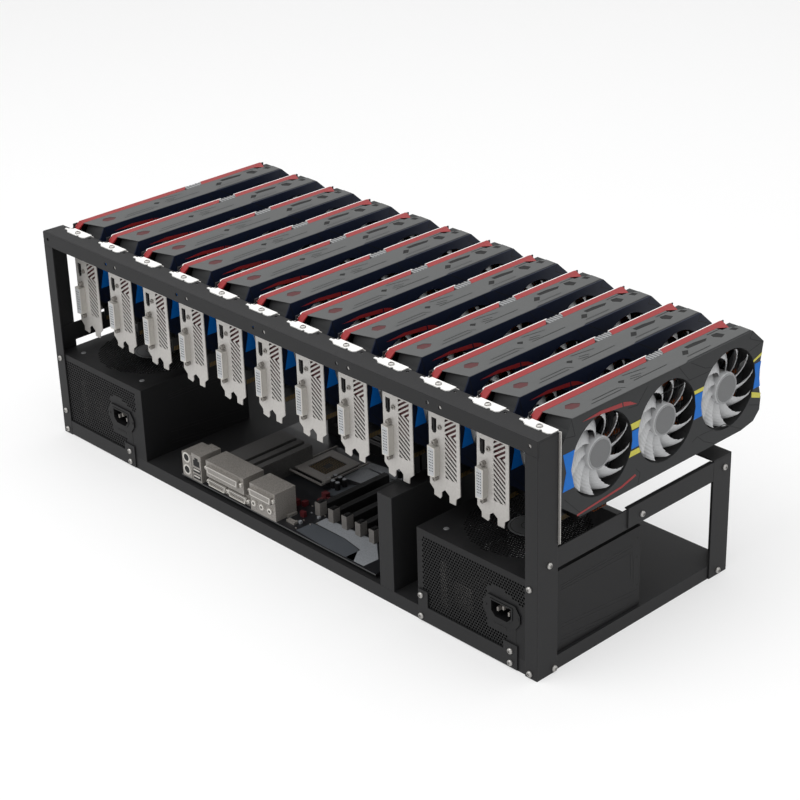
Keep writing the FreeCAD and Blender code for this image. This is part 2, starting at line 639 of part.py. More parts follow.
def card_brackets():
    """Two-slot brackets: a tongue-ended plate with angled vents and a tab bent forward."""
    left = "first_card + bracket_left"
    low = "front_height - bracket_height"
    top = "front_height"
    right = f"{left} + bracket_width"
    plate = [(left, top), (left, f"{low} + 12"), (f"{left} + 5.5", f"{low} + 7"),
             (f"{left} + 5.5", f"{low} + 1.5"), (f"{left} + 13.5", low),
             (f"{left} + 15.4", f"{low} + 2.5"), (f"{left} + 15.4", f"{low} + 7.5"),
             (f"{left} + 20", f"{low} + 11.2"), (f"{left} + 25.6", f"{low} + 7.2"),
             (f"{left} + 25.6", low), (f"{left} + 33.8", low), (f"{left} + 34.6", f"{low} + 6.5"),
             (right, f"{low} + 11"), (right, top)]
    body = new_body("card_brackets")
    pad(body, "bracket_plate", outline(body, "bracket_lines", "XZ_Plane", [plate],
                                       f"-({BRACKET_FACE})"), "bracket_gauge", back=True)
    tab = rectangle("first_card + tab_left", "first_card + tab_left + tab_width",
                    f"{BRACKET_FACE} + bracket_gauge - tab_reach",
                    f"{BRACKET_FACE} + bracket_gauge")
    pad(body, "bracket_tab", outline(body, "tab_lines", "XY_Plane", [tab], top),
        "bracket_gauge")
    start = f"{left} + vent_left"
    end = f"{left} + vent_left + vent_width"
    vents = []
    for number in range(4):
        high = f"{top} - 62 - {number} * vent_pitch"
        vents.append([(start, f"{high} - vent_slot"), (end, f"{high} - vent_slot - 12"),
                      (end, f"{high} - 12"), (start, high)])
    apex = f"{top} - 54.5"
    vents.append([(start, f"{apex} - 4.5"), (end, f"{apex} - 17"), (end, f"{apex} - 12"),
                  (f"{start} + 4", apex), (end, f"{apex} + 12"), (end, f"{apex} + 17"),
                  (start, f"{apex} + 4.5")])
    pocket(body, "bracket_vents", outline(body, "vent_lines", "XZ_Plane", vents,
                                          f"-({BRACKET_FACE})"), "bracket_gauge")
    row_of(body, "all_brackets", "card_count", CARD_PITCH)
    place(body, "card_brackets")


def card_ports():
    """Display connectors that stand out through each bracket."""
    body = new_body("card_ports")
    left = "first_card + bracket_left"
    top = "front_height"
    digital = rectangle(f"{left} + 4.5", f"{left} + 14", f"{top} - 98", f"{top} - 66")
    pad(body, "digital_port", outline(body, "digital_port_lines", "XZ_Plane", [digital],
                                      f"-({BRACKET_FACE})"), "port_proud")
    row_of(body, "all_ports", "card_count", CARD_PITCH)
    place(body, "card_display_ports")


def fan_rotor(name, count, hub, depth, tip, root_chord, tip_chord):
    """A fan rotor about X: pitched blades, sharp behind and swept ahead, on a many-sided hub."""
    body = new_body(name)
    back = f"-({root_chord}) * 0.55"
    front = f"{back} + {tip_chord}"
    shoulder = f"{back} + {root_chord}"
    root = f"({hub}) * 0.9"
    half = "blade_thickness / 2"
    rim = f"sqrt(({tip}) ^ 2 - (({front} + blade_thickness) * cos(blade_pitch * 1deg)) ^ 2)"
    middle = f"({depth}) * 0.36"

    def pitched(lines, turn_axis):
        """Turns a blade sketch to the pitch and moves it to the middle of the hub."""
        placed = FreeCAD.Rotation(turn_axis, value("90 - blade_pitch"))
        lines.AttachmentOffset = FreeCAD.Placement(FreeCAD.Vector(), placed)
        bind(lines, AttachmentOffset__Rotation__Angle="90 - blade_pitch",
             AttachmentOffset__Base__x=middle)

    wedge = outline(body, "blade_section", "XY_Plane",
                    [[(back, "0"), (front, f"-{half}"), (front, half)]])
    pitched(wedge, FreeCAD.Vector(0, 0, -1))
    bind(wedge, AttachmentOffset__Base__z=root)
    plate = pad(body, "blade", wedge, f"{rim} - {root}")
    corner = outline(body, "blade_corner", "XZ_Plane",
                     [[(shoulder, root), (f"{front} + 1", root), (f"{front} + 1", rim),
                       (front, rim)]])
    pitched(corner, FreeCAD.Vector(0, -1, 0))
    trim = pocket(body, "blade_lead", corner, "4 * blade_thickness")
    trim.Midplane = True
    doc.recompute()
    ring = body.newObject("PartDesign::PolarPattern", "blades")
    ring.TransformMode = "Whole shape"
    ring.Axis = (origin_item(body, "X_Axis"), [""])
    ring.Angle = 360
    bind(ring, Occurrences=count)
    body.Tip = ring
    sides = int(value(count))
    pad(body, "hub", outline(body, "hub_lines", "YZ_Plane",
                             [polygon(sides, hub, turn=90.0 + 180.0 / sides)]), depth)
    return body


def card_fans():
    """Three rotors for each card, behind the openings of its cover."""
    master = fan_rotor("card_rotor", "blade_count", "hub_radius", "hub_depth", "fan_radius",
                       "blade_root_chord", "blade_tip_chord")
    for card in range(int(value("card_count"))):
        for number in range(int(value("fan_count"))):
            rotor = group(f"rotor_{card}_{number}", [master])
            place(rotor, f"card_{card + 1:02d}_fan_{FAN_PLACES[number]}",
                  f"first_card + {card} * {CARD_PITCH} + cover_face - fan_recess - hub_depth",
                  f"fan_first + {number} * fan_pitch", FAN_HEIGHT)


def supply_fans():
    """One rotor under the guard of each power supply, turned to face up."""
    master = fan_rotor("supply_rotor", "supply_fan_blades", "supply_hub_radius",
                       "supply_fan_depth", "supply_fan_radius", "supply_root_chord",
                       "supply_tip_chord")
    for side in SUPPLY_SIDES:
        rotor = group(f"supply_rotor_{side}", [master])
        place(rotor, f"supply_fan_{side}", SUPPLY_FAN_X[side], SUPPLY_FAN_Y,
              f"{SUPPLY_TOP} - supply_gauge - supply_fan_gap - supply_fan_depth")
        rotor.Placement.Rotation = FreeCAD.Rotation(FreeCAD.Vector(0, 1, 0), -90)


def screws():
    """Pan heads: one on each bracket tab, the rest on the posts, rails and plates."""
    body = new_body("pan_heads")
    heads = [polygon(8, "screw_radius", f"first_card + 21.3 + {card} * {CARD_PITCH}", "21.3", 22.5)
             for card in range(int(value("card_count")))]
    pad(body, "bracket_heads", outline(body, "bracket_head_lines", "XY_Plane", heads,
                                       "front_height + bracket_gauge"), "screw_head")
    right = SUPPLY_LEFT["right"]
    faces = [("7.5", "94.5"), ("7.5", "29"), ("7.5", "5.5"), ("rig_length - 9.5", "94"),
             ("rig_length - 9", "5"), (f"{right} + 5", "29"), (f"{right} + 5", "6.2"),
             (f"{right} + 121.5", "18.8"), (f"{right} + 121.5", "6.2"),
             ("supply_side_gap + 121.5", "18.8"), ("supply_side_gap + 121.5", "6.2")]
    heads = [polygon(8, "screw_radius", x, z, 22.5) for x, z in faces]
    pad(body, "front_heads", outline(body, "front_head_lines", "XZ_Plane", heads), "screw_head")
    sides = [("15.6", "116"), ("23", "4.4"), ("142.7", "117"), ("rig_depth - 10.1", "118.5"),
             ("rig_depth - 13.5", "5")]
    heads = [polygon(8, "screw_radius", y, z, 22.5) for y, z in sides]
    pad(body, "left_heads", outline(body, "left_head_lines", "YZ_Plane", heads), "screw_head",
        back=True)
    heads = [polygon(8, "screw_radius", y, z, 22.5) for y, z in sides]
    pad(body, "right_heads", outline(body, "right_head_lines", "YZ_Plane", heads, "rig_length"),
        "screw_head")
    place(body, "pan_head_screws")


def check_and_write():
    """Stops on any failed feature, then writes one file for each sub-part."""
    doc.recompute()
    for item in doc.Objects:
        if "Invalid" in item.State or "Error" in item.State:
            raise RuntimeError(f"{item.Name} ({item.Label}) failed: {item.getStatusString()}")
    os.makedirs("parts", exist_ok=True)
    for item in subparts:
        shape = item.Shape
        if shape.isNull() or not shape.isValid() or not shape.Solids:
            raise RuntimeError(f"{item.Label} has no valid solid")
        shape.exportStep(f"parts/{item.Label}.step")
        print(f"{item.Label}: {len(shape.Solids)} solids, {shape.Volume / 1000:.1f} cm3")


base_tray()
corner_posts()
front_top_rail()
rear_top_rail()
side_rails()
divider()
supply_plates()
supply_cases()
supply_covers()
supply_fan_frames()
supply_inlets()
motherboard()
board_ports()
board_slots()
board_heatsink()
card_covers()
card_backplates()
card_boards()
card_heatsinks()
card_brackets()
card_ports()
screws()
card_fans()
supply_fans()
check_and_write()
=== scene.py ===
import json
import math

import bmesh
import bpy
from bmesh.types import BMFace, BMVert
from mathutils import Matrix, Vector


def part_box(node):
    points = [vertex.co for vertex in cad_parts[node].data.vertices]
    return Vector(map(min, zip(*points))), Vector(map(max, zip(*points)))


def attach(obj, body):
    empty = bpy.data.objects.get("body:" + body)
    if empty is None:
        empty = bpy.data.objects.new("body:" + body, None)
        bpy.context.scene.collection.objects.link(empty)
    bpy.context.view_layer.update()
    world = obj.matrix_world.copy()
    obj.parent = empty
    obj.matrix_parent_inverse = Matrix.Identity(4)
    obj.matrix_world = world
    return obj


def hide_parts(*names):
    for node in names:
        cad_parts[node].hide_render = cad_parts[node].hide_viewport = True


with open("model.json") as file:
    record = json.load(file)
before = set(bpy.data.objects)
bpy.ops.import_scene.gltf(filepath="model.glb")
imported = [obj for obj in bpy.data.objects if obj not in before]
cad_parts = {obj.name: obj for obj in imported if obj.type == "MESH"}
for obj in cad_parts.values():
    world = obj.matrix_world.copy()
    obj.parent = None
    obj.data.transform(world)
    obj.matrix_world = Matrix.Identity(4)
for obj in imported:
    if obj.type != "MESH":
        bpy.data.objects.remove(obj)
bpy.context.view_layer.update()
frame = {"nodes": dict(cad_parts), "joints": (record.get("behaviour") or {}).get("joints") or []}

MM = 0.001
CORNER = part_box("corner_posts")[0]
RIG_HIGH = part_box("corner_posts")[1]
X, Y, Z = Vector((1, 0, 0)), Vector((0, 1, 0)), Vector((0, 0, 1))
RIG = "rig"


def local(point):
    """A row-frame point in millimetres from the frame's corner."""
    return (Vector(point) - CORNER) / MM


def corners(node):
    """A node's lowest and highest corner, in millimetres from the frame's corner."""
    return [local(corner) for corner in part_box(node)]


# Driving sizes, in millimetres.
LENGTH = (RIG_HIGH.x - CORNER.x) / MM
CARD_COUNT = 12
FAN_SPOTS = ("front", "middle", "rear")
FIRST_CARD = corners("card_backplates")[0].x
CARD_PITCH = (corners("card_12_fan_front")[0].x
              - corners("card_01_fan_front")[0].x) / (CARD_COUNT - 1)
CARD_TOP = corners("card_fan_covers")[1].z
SUPPLY_TOP = corners("supply_covers")[1].z
SUPPLY_WIDE = 150.0
SUPPLY_LEFT = (corners("supply_covers")[0].x, corners("supply_covers")[1].x - SUPPLY_WIDE)
BOARD_LOW, BOARD_HIGH = corners("motherboard")


# Materials

GRAIN_DEPTH, GRAIN_DETAIL = 0.0004, 3
TINT_FROM, TINT_TO = 0.3, 0.7
GLOSS_SPREAD = 0.06


def linear(hex_colour):
    """A linear colour from a hexadecimal sRGB one."""
    parts = [int(hex_colour[i:i + 2], 16) / 255 for i in (0, 2, 4)]
    return [p / 12.92 if p <= 0.04045 else ((p + 0.055) / 1.055) ** 2.4 for p in parts]


def material(name, colour, metal=0.0, rough=0.5, grain=900, bump=0.05, mottle=0.06, coat=0.0,
             shine=0.5):
    """Paint, plastic or metal with a fine grain in its height, colour and gloss."""
    made = bpy.data.materials.new(name)
    made.use_nodes = True
    nodes, join = made.node_tree.nodes, made.node_tree.links.new
    shader = nodes["Principled BSDF"]
    shader.inputs["Metallic"].default_value = metal
    shader.inputs["Coat Weight"].default_value = coat
    shader.inputs["Specular IOR Level"].default_value = shine
    where = nodes.new("ShaderNodeTexCoord")
    noise = nodes.new("ShaderNodeTexNoise")
    noise.inputs["Scale"].default_value = grain
    noise.inputs["Detail"].default_value = GRAIN_DETAIL
    join(where.outputs["Object"], noise.inputs["Vector"])
    lift = nodes.new("ShaderNodeBump")
    lift.inputs["Strength"].default_value = bump
    lift.inputs["Distance"].default_value = GRAIN_DEPTH
    join(noise.outputs["Fac"], lift.inputs["Height"])
    join(lift.outputs["Normal"], shader.inputs["Normal"])
    tint = nodes.new("ShaderNodeValToRGB")
    base = linear(colour)
    tint.color_ramp.elements[0].position = TINT_FROM
    tint.color_ramp.elements[1].position = TINT_TO
    tint.color_ramp.elements[0].color = [c * (1 - mottle) for c in base] + [1]
    tint.color_ramp.elements[1].color = [min(1, c * (1 + mottle)) for c in base] + [1]
    join(noise.outputs["Fac"], tint.inputs["Fac"])
    join(tint.outputs["Color"], shader.inputs["Base Color"])
    gloss = nodes.new("ShaderNodeMapRange")
    gloss.inputs["To Min"].default_value = max(0.02, rough - GLOSS_SPREAD)
    gloss.inputs["To Max"].default_value = min(1, rough + GLOSS_SPREAD)
    join(noise.outputs["Fac"], gloss.inputs["Value"])
    join(gloss.outputs["Result"], shader.inputs["Roughness"])
    return made


STEEL = material("black_powder_coat", "202021", bump=0.12, grain=1500, shine=0.22)
SUPPLY_STEEL = material("supply_powder_coat", "181819", bump=0.15, grain=1800, shine=0.2)
SCREW = material("nickel_screw", "a9a7a4", metal=0.8, rough=0.32, bump=0.02)
BRACKET = material("bracket_steel", "b9b6b2", metal=0.25, rough=0.42, bump=0.03, grain=400)
COVER = material("cover_plastic", "2b2c2d", bump=0.06, shine=0.2)
TAB = material("bracket_tab", "f2f1ef", rough=0.45, bump=0.02)
# Painted shade: dark strips for the shade in the cover's panel lines and grooves, and in the gap
# behind its front end.
COVER_SEAM_SHADE = material("cover_plastic_seam_shade", "161718", rough=0.55, bump=0.06, shine=0.2)
# Navy painted shade: the fan side of every card but the nearest, a shaded copy of the dark grey
# cover plastic.
COVER_SHADED_NAVY = material("cover_plastic_painted_shade", "10182c", rough=0.45, shine=0.2)
CARD_GREY = material("card_top_grey", "565757", bump=0.08, grain=1200, shine=0.25)
CARD_MARK = material("card_top_mark", "2a2b2c", shine=0.2)
RED = material("red_paint", "8e2426", rough=0.42, bump=0.03, shine=0.3)
WHITE = material("white_edge", "efeeec")
BLUE = material("blue_panel", "0868c0", rough=0.42, bump=0.03, shine=0.15)
YELLOW = material("yellow_accent", "c3bb3c", rough=0.45, bump=0.03)
FAN = material("fan_grey", "c2c3c4", rough=0.45, bump=0.04)
FAN_HUB = material("fan_hub_label", "626364", rough=0.42, bump=0.02)
FAN_RING = material("fan_hub_ring", "8a8b8c", rough=0.4)
BLACK = material("black_plastic", "0d0d0e", shine=0.25)
# Near-black painted shade: the floors of holes, the walls inside openings, cavities and grooves;
# in connectors it is partly also their own black plastic.
SHADE_PIT = material("painted_shade_inside", "050506", rough=0.8)
ALUMINIUM = material("fin_aluminium", "8d8f92", metal=0.7, rough=0.38, grain=300)
LAMINATE = material("card_laminate", "121214", rough=0.35, bump=0.04, coat=0.2)
BOARD = material("board_laminate", "17181b", rough=0.33, bump=0.04, coat=0.25)
SILK = material("board_silkscreen", "83868a", rough=0.6, mottle=0.15)
SILK_WHITE = material("board_silkscreen_white", "b4b6b8", rough=0.6, mottle=0.12)
SLATE = material("board_slate", "45494e")
PORT_METAL = material("port_metal", "8b8782", metal=0.3, rough=0.45, grain=1100, mottle=0.3,
                      bump=0.15)
SINK = material("board_heatsink_grey", "4c4b4a", metal=0.3, rough=0.55, grain=1100, mottle=0.35,
                bump=0.2)
SHELL = material("connector_shell", "c9c6c0", metal=0.4, rough=0.4, bump=0.03)
GOLD = material("contact_gold", "6f5a2e", metal=0.5, rough=0.4)
COPPER = material("copper", "b9612c", metal=0.7, rough=0.35)
# Red darkened with painted shade, for red parts seen deep inside.
SHADED_RED = material("red_inside_painted_shade", "4a1418", rough=0.6)
BOARD_RED = material("board_red", "4f1419", rough=0.45)
SLOT_END = material("slot_end", "6f6c69", mottle=0.15)
FLOOR = material("studio_floor", "f4f4f4", rough=0.9, bump=0, mottle=0.002)


# Mesh helpers

def linked(name, data):
    """A new object of some data, linked to the scene."""
    made = bpy.data.objects.new(name, data)
    bpy.context.scene.collection.objects.link(made)
    return made


def mesh_of(name, bm, mats, sharp=None):
    """A mesh in metres from one in millimetres, smooth up to an angle where one is given."""
    bmesh.ops.recalc_face_normals(bm, faces=bm.faces)
    mesh = bpy.data.meshes.new(name)
    bm.to_mesh(mesh)
    bm.free()
    mesh.transform(Matrix.Scale(MM, 4))
    for mat in mats:
        mesh.materials.append(mat)
    if sharp:
        mesh.shade_smooth()
        mesh.set_sharp_from_angle(angle=math.radians(sharp))
    return mesh


def stand(name, mesh, body=RIG, bevel=0.0, place=None):
    """One object of a mesh, with softened edges, riding on a body."""
    made = linked(name, mesh)
    made.matrix_world = place or Matrix.Translation(CORNER)
    if bevel:
        soft = made.modifiers.new("edges", "BEVEL")
        soft.width = bevel * MM
        soft.segments = 2
        soft.limit_method = "ANGLE"
        soft.angle_limit = math.radians(30)
        soft.use_clamp_overlap = True
    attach(made, body)
    return made


def finish(name, bm, mats, bevel=0.0, sharp=None):
    """A piece of the rig from a mesh in millimetres."""
    return stand(name, mesh_of(name, bm, mats, sharp), RIG, bevel)


def shift(x=0.0, y=0.0, z=0.0):
    """Places a piece by an offset in millimetres from the frame's corner."""
    return Matrix.Translation(CORNER + Vector((x, y, z)) * MM)


def plate(bm, loops, origin, across, up, out, index=0):
    """Adds a flat plate with holes: the first loop is its outline, the rest are holes."""
    origin, across, up, out = (Vector(v) for v in (origin, across, up, out))
    edges = []
    for loop in loops:
        verts = [bm.verts.new(origin + across * u + up * v) for u, v in loop]
        for i, vert in enumerate(verts):
            edges.append(bm.edges.new((vert, verts[(i + 1) % len(verts)])))
    filled = bmesh.ops.triangle_fill(bm, use_beauty=True, use_dissolve=False, edges=edges)
    faces = [f for f in filled["geom"] if isinstance(f, BMFace)]
    grown = bmesh.ops.extrude_face_region(bm, geom=faces, use_keep_orig=True)["geom"]
    bmesh.ops.translate(bm, vec=out, verts=[v for v in grown if isinstance(v, BMVert)])
    faces += [f for f in grown if isinstance(f, BMFace)]
    for face in faces + [f for e in edges for f in e.link_faces]:
        face.material_index = index


def front_plate(bm, loops, y, thick, index=0):
    """A plate drawn in X and Z whose front face is at y."""
    plate(bm, loops, (0, y, 0), X, Z, Y * thick, index)


def side_plate(bm, loops, x, thick, index=0):
    """A plate drawn in Y and Z that starts at x."""
    plate(bm, loops, (x, 0, 0), Y, Z, X * thick, index)


def top_plate(bm, loops, z, thick, index=0):
    """A plate drawn in X and Y that starts at z."""
    plate(bm, loops, (0, 0, z), X, Y, Z * thick, index)


def block(bm, low, high, index=0):
    """Adds a block between two corners."""
    low, high = Vector(low), Vector(high)
    made = bmesh.ops.create_cube(bm, size=1)["verts"]
    for vert in made:
        vert.co = Vector((low[i] + (high[i] - low[i]) * (vert.co[i] + 0.5) for i in range(3)))
    for face in {f for v in made for f in v.link_faces}:
        face.material_index = index


def rect(x0, x1, y0, y1):
    """The corners of a rectangle."""
    return [(x0, y0), (x1, y0), (x1, y1), (x0, y1)]


def round_loop(x, y, radius, count=20):
    """The corners of a round hole or disc."""
    return [(x + radius * math.cos(math.tau * i / count),
             y + radius * math.sin(math.tau * i / count)) for i in range(count)]


def turned(bm, profile, origin, axis, count=24, index=0):
    """Adds a solid of revolution; the profile is (radius, distance along the axis)."""
    axis = Vector(axis).normalized()
    side = axis.orthogonal().normalized()
    other = axis.cross(side)
    rings = []
    for radius, along in profile:
        centre = Vector(origin) + axis * along
        if radius < 1e-6:
            rings.append([bm.verts.new(centre)])
            continue
        rings.append([bm.verts.new(centre + (side * math.cos(a) + other * math.sin(a)) * radius)
                      for a in (math.tau * i / count for i in range(count))])
    for low, high in zip(rings, rings[1:]):
        for i in range(count):
            j = (i + 1) % count
            corners = [low[0]] if len(low) == 1 else [low[i], low[j]]
            corners += [high[0]] if len(high) == 1 else [high[j], high[i]]
            if len(corners) > 2:
                bm.faces.new(corners).material_index = index


def softened(node, mat, bevel):
    """A CAD node's own shape again with softened edges, in place of the sharp one."""
    bm = bmesh.new()
    bm.from_mesh(frame["nodes"][node].data)
    bmesh.ops.remove_doubles(bm, verts=bm.verts, dist=1e-6)
    bmesh.ops.dissolve_limit(bm, angle_limit=math.radians(1), verts=bm.verts, edges=bm.edges)
    mesh = bpy.data.meshes.new(node + "_soft")
    bm.to_mesh(mesh)
    bm.free()
    mesh.materials.append(mat)
    made = stand(node + "_soft", mesh, RIG, bevel, Matrix.Identity(4))
    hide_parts(node)


def paint(node, mat):
    """Gives a CAD node its material."""
    target = frame["nodes"][node]
    target.data.materials.clear()
    target.data.materials.append(mat)


# Frame

GAUGE = 1.5
# The top rail's holes: radius, distance from the edge and place along the rail.
LIP_HOLE, LIP_HOLE_DROP = 1.8, 7.5
TOP_HOLE, TOP_HOLE_FRONT, TOP_HOLE_START = 1.5, 22.5, 41.5
END_HOLES = (8.1, LENGTH - 9.5)
PAIR_COUNT, PAIR_START, PAIR_PITCH, PAIR_HALF = 5, 122.6, 121.6, 8


def frame_pieces():
    """Tray, rails, posts and plates with softened folds; the top rail has its rows of holes."""
    for node in ("base_tray", "corner_posts", "rear_top_rail", "side_rails", "divider_plate",
                 "supply_retaining_plates"):
        softened(node, STEEL, 0.35)
    low, high = corners("front_top_rail")
    bm = bmesh.new()
    holes = [round_loop(x, high.z - LIP_HOLE_DROP, LIP_HOLE, 14) for x in hole_places()]
    front_plate(bm, [rect(low.x, high.x, low.z, high.z)] + holes, low.y, GAUGE)
    tops = [round_loop(FIRST_CARD + TOP_HOLE_START + CARD_PITCH * card, TOP_HOLE_FRONT,
                       TOP_HOLE, 12)
            for card in range(CARD_COUNT - 1)]
    top_plate(bm, [rect(low.x, high.x, low.y + GAUGE, high.y)] + tops, high.z - GAUGE, GAUGE)
    bmesh.ops.remove_doubles(bm, verts=bm.verts, dist=0.001)
    rail = finish("front_rail_folded", bm, [STEEL], bevel=0.4)
    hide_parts("front_top_rail")


def hole_places():
    """Holes along the top rail's lip: one at each end and pairs between."""
    places = list(END_HOLES)
    for pair in range(PAIR_COUNT):
        middle = PAIR_START + PAIR_PITCH * pair
        places += [middle - PAIR_HALF, middle + PAIR_HALF]
    return places


frame_pieces()
for painted, paint_material in (
        ("supply_fan_frames", BLACK), ("motherboard", BOARD), ("board_io_ports", PORT_METAL),
        ("board_sockets", BLACK), ("board_heatsink", SINK)):
    paint(painted, paint_material)


# Graphics cards

HUB_PLACES = {j["child"]: local(j["pos_m"]) for j in frame["joints"]}
FAN_CENTRES = [(HUB_PLACES[f"card_01_fan_{spot}"].y, HUB_PLACES[f"card_01_fan_{spot}"].z)
               for spot in FAN_SPOTS]
ROTOR_HIGH = corners("card_01_fan_middle")[1]
FAN_TIP = ROTOR_HIGH.y - HUB_PLACES["card_01_fan_middle"].y
OPENING = FAN_TIP + 1.9
COVERS_LOW, COVERS_HIGH = corners("card_fan_covers")
FACE = COVERS_HIGH.x - FIRST_CARD - CARD_PITCH * (CARD_COUNT - 1)
COVER_BACK = COVERS_LOW.x - FIRST_CARD
COVER_LOW, COVER_REAR = COVERS_LOW.z, COVERS_HIGH.y
COVER_WALL, LID = 1.5, 0.4


def cover_side(inset=0.0):
    """The cover's outline from the side, in Y and Z; the inset gives its inner wall."""
    top, low, i = CARD_TOP - LID - inset, COVER_LOW + inset, inset
    return [(31 + i, low + 19.5), (57 + i / 2, low), (289 - i / 2, low), (308 - i, low + 3.5),
            (317 - i, low + 12.5), (COVER_REAR - i, low + 25.5), (314.5 - i, low + 38.5),
            (314.5 - i, top - 36.5), (COVER_REAR - i, top - 16.5), (300 - i / 2, top),
            (45 + i / 2, top), (40 + i, top - 9.5), (31 + i, top - 22.5)]


def beside(left, right, low, high):
    """A panel between two openings, with sides that follow their rims."""
    gap = OPENING + 0.3
    left_edge = [(left[0] + math.sqrt(gap ** 2 - (z - left[1]) ** 2), z)
                 for z in (low, (low + high) / 2, high)]
    right_edge = [(right[0] - math.sqrt(gap ** 2 - (z - right[1]) ** 2), z)
                  for z in (high, (low + high) / 2, low)]
    return left_edge + right_edge


# Material places of the cover; its last one is the recess in its top, red darkened with painted
# shade.
SIDE, SHELL_WALL, HOLLOW_SHADE, LID_GREY, PANEL, STRIPE, FLASH, CREASE_SHADE, RED_RECESS_SHADE = range(9)


def cover_accents():
    """Coloured panels and stripes on the fan side: (material index, outline in Y and Z)."""
    one, two, three = FAN_CENTRES
    ahead = (one[0] - 2 * OPENING - 7, one[1])
    behind = (three[0] + 2 * OPENING + 6.5, three[1])
    panels = [(PANEL, beside(one, two, 190, 208)), (PANEL, beside(two, three, 187, 212.5)),
              (PANEL, beside(three, behind, 187, 213.5)), (PANEL, beside(ahead, one, 182, 219)),
              (STRIPE, beside(one, two, 209.5, 216)), (STRIPE, beside(one, two, 182.5, 188)),
              (STRIPE, beside(two, three, 213.2, 217)),
              (STRIPE, [(303.5, 216), (315.6, 219.5), (316.2, 222.5), (303.3, 218.5)]),
              (STRIPE, [(303.3, 178.7), (316.8, 173.8), (317.6, 178.8), (303, 184.7)])]
    red = [(FLASH, [(58, 242.6), (81.5, 241.2), (112, 237.8), (111, 242.2), (81.5, 244.6)]),
           (FLASH, [(113.5, 237.6), (119.5, 236.4), (131.9, 233.9), (122.1, 239.5),
                    (112.6, 242.2)]),
           (FLASH, [(52.8, 150.6), (113.5, 155.2), (133.3, 160.2), (131.8, 162.4),
                    (112.5, 157.4), (52.8, 152.4)])]
    return panels + red


def cover_creases():
    """Panel lines on the fan side, each a run of points in Y and Z; they are drawn as dark strips
    of painted shade.
    """
    return [[(190, 250), (206.5, 231), (238, 230)], [(208, 248), (229, 235.6), (240, 232.5)],
            [(120, 233.5), (133, 232), (146, 246)], [(293, 229.6), (316.8, 233.6)],
            [(31.5, 235.6), (49, 232.2), (44, 250)], [(36, 174), (60, 149.5)],
            [(133, 167), (139, 161), (136, 149)], [(214, 164), (222, 167), (232, 158), (250, 149)],
            [(300, 250), (296, 243), (317, 233)], [(165, 231), (207, 231)],
            [(225, 167), (262, 165), (290, 150)], [(300, 172), (317, 166)]]


def cover_mesh(bm):
    """One card's cover: a walled shell, its fan side, ducts, top plate and accents."""
    side_plate(bm, [cover_side(), cover_side(COVER_WALL)], COVER_BACK,
               FACE - COVER_BACK - COVER_WALL, SHELL_WALL)
    rims = [round_loop(y, z, OPENING, 48) for y, z in FAN_CENTRES]
    side_plate(bm, [cover_side()] + rims, FACE - COVER_WALL, COVER_WALL, SIDE)
    # Rings inside the fan openings, in near-black painted shade.
    for y, z in FAN_CENTRES:
        turned(bm, [(OPENING + 1, 0), (OPENING + 1, 14), (OPENING, 14), (OPENING, 0),
                    (OPENING + 1, 0)], (FACE - 15, y, z), X, 48, HOLLOW_SHADE)
    for index, outline in cover_accents():
        side_plate(bm, [outline], FACE - 0.1, 0.25, index)
    # Panel lines as dark strips of painted shade.
    for crease in cover_creases():
        for start, end in zip(crease, crease[1:]):
            side_plate(bm, [ribbon(start, end, 0.7)], FACE - 0.1, 0.16, CREASE_SHADE)
    # A dark sheet at the back of the cover's front end: painted shadow of the gap there.
    side_plate(bm, [[(31, 228), (31, 168), (45, 158), (49, 158), (49, 250), (45, 250),
                     (40, 240.5)]], COVER_BACK - 0.2, 1.0, CREASE_SHADE)
    top = CARD_TOP - LID
    edge = [(9.9, 37), (FACE - 0.4, 45.4), (FACE - 0.4, 200.5), (FACE - 2.6, 206),
            (FACE - 2.6, 299.5), (22, 300), (18, 291), (9.9, 281)]
    hex_hole = [(15.8, 60), (17, 67.4), (22.4, 72.6), (26.6, 67), (25.6, 58.4), (20.5, 55)]
    square = [(18.7, 218.3), (21.3, 223.8), (27.2, 217.2), (25.2, 211.2)]
    slot = [(14.4, 226), (19.2, 226), (20.6, 251), (17, 256.6), (14.4, 240)]
    notch = [(17.5, 129.6), (20.1, 134.6), (24.1, 129.8), (20.2, 126.2)]
    grill = [(15.5, 264.5), (20, 262.5), (26.6, 267.5), (24, 275), (16.5, 272.5)]
    rear = [(20, 286.5), (25.9, 289), (25.2, 295), (19.5, 293)]
    top_plate(bm, [edge, hex_hole, square, slot, notch, grill, rear], top, LID, LID_GREY)
    # Floors under the top plate's holes: near-black painted shade, and red darkened with painted
    # shade in the hex recess.
    for x0, y0, x1, y1, index in (
            (13, 52, 29, 76, RED_RECESS_SHADE), (17, 209, 29, 226, HOLLOW_SHADE), (13, 224, 22, 258, HOLLOW_SHADE),
            (16, 124, 26, 136, HOLLOW_SHADE), (14, 260, 28, 278, HOLLOW_SHADE), (18, 285, 27, 297, HOLLOW_SHADE)):
        block(bm, (x0, y0, top + 0.02), (x1, y1, top + 0.08), index)
    # Dark lines on the top plate, in the same painted shade.
    for x0, y0, x1, y1 in ((31, 78, 31, 118), (26.5, 118, 31, 124), (26.5, 84, 26.5, 118),
                           (13, 140, 17.5, 168), (27, 140, 27, 186), (13, 262, 13, 284),
                           (30, 212, 30, 246), (22.5, 140, 25, 152), (19.5, 144, 22, 156)):
        top_plate(bm, [ribbon((x0, y0), (x1, y1), 0.9)], top + 0.35, 0.05, CREASE_SHADE)


def ribbon(start, end, width):
    """The four corners of a thin line between two points."""
    start, end = Vector(start), Vector(end)
    along = (end - start).normalized() * width / 2
    side = Vector((-along.y, along.x))
    return [start + side, start - side, end - side, end + side]


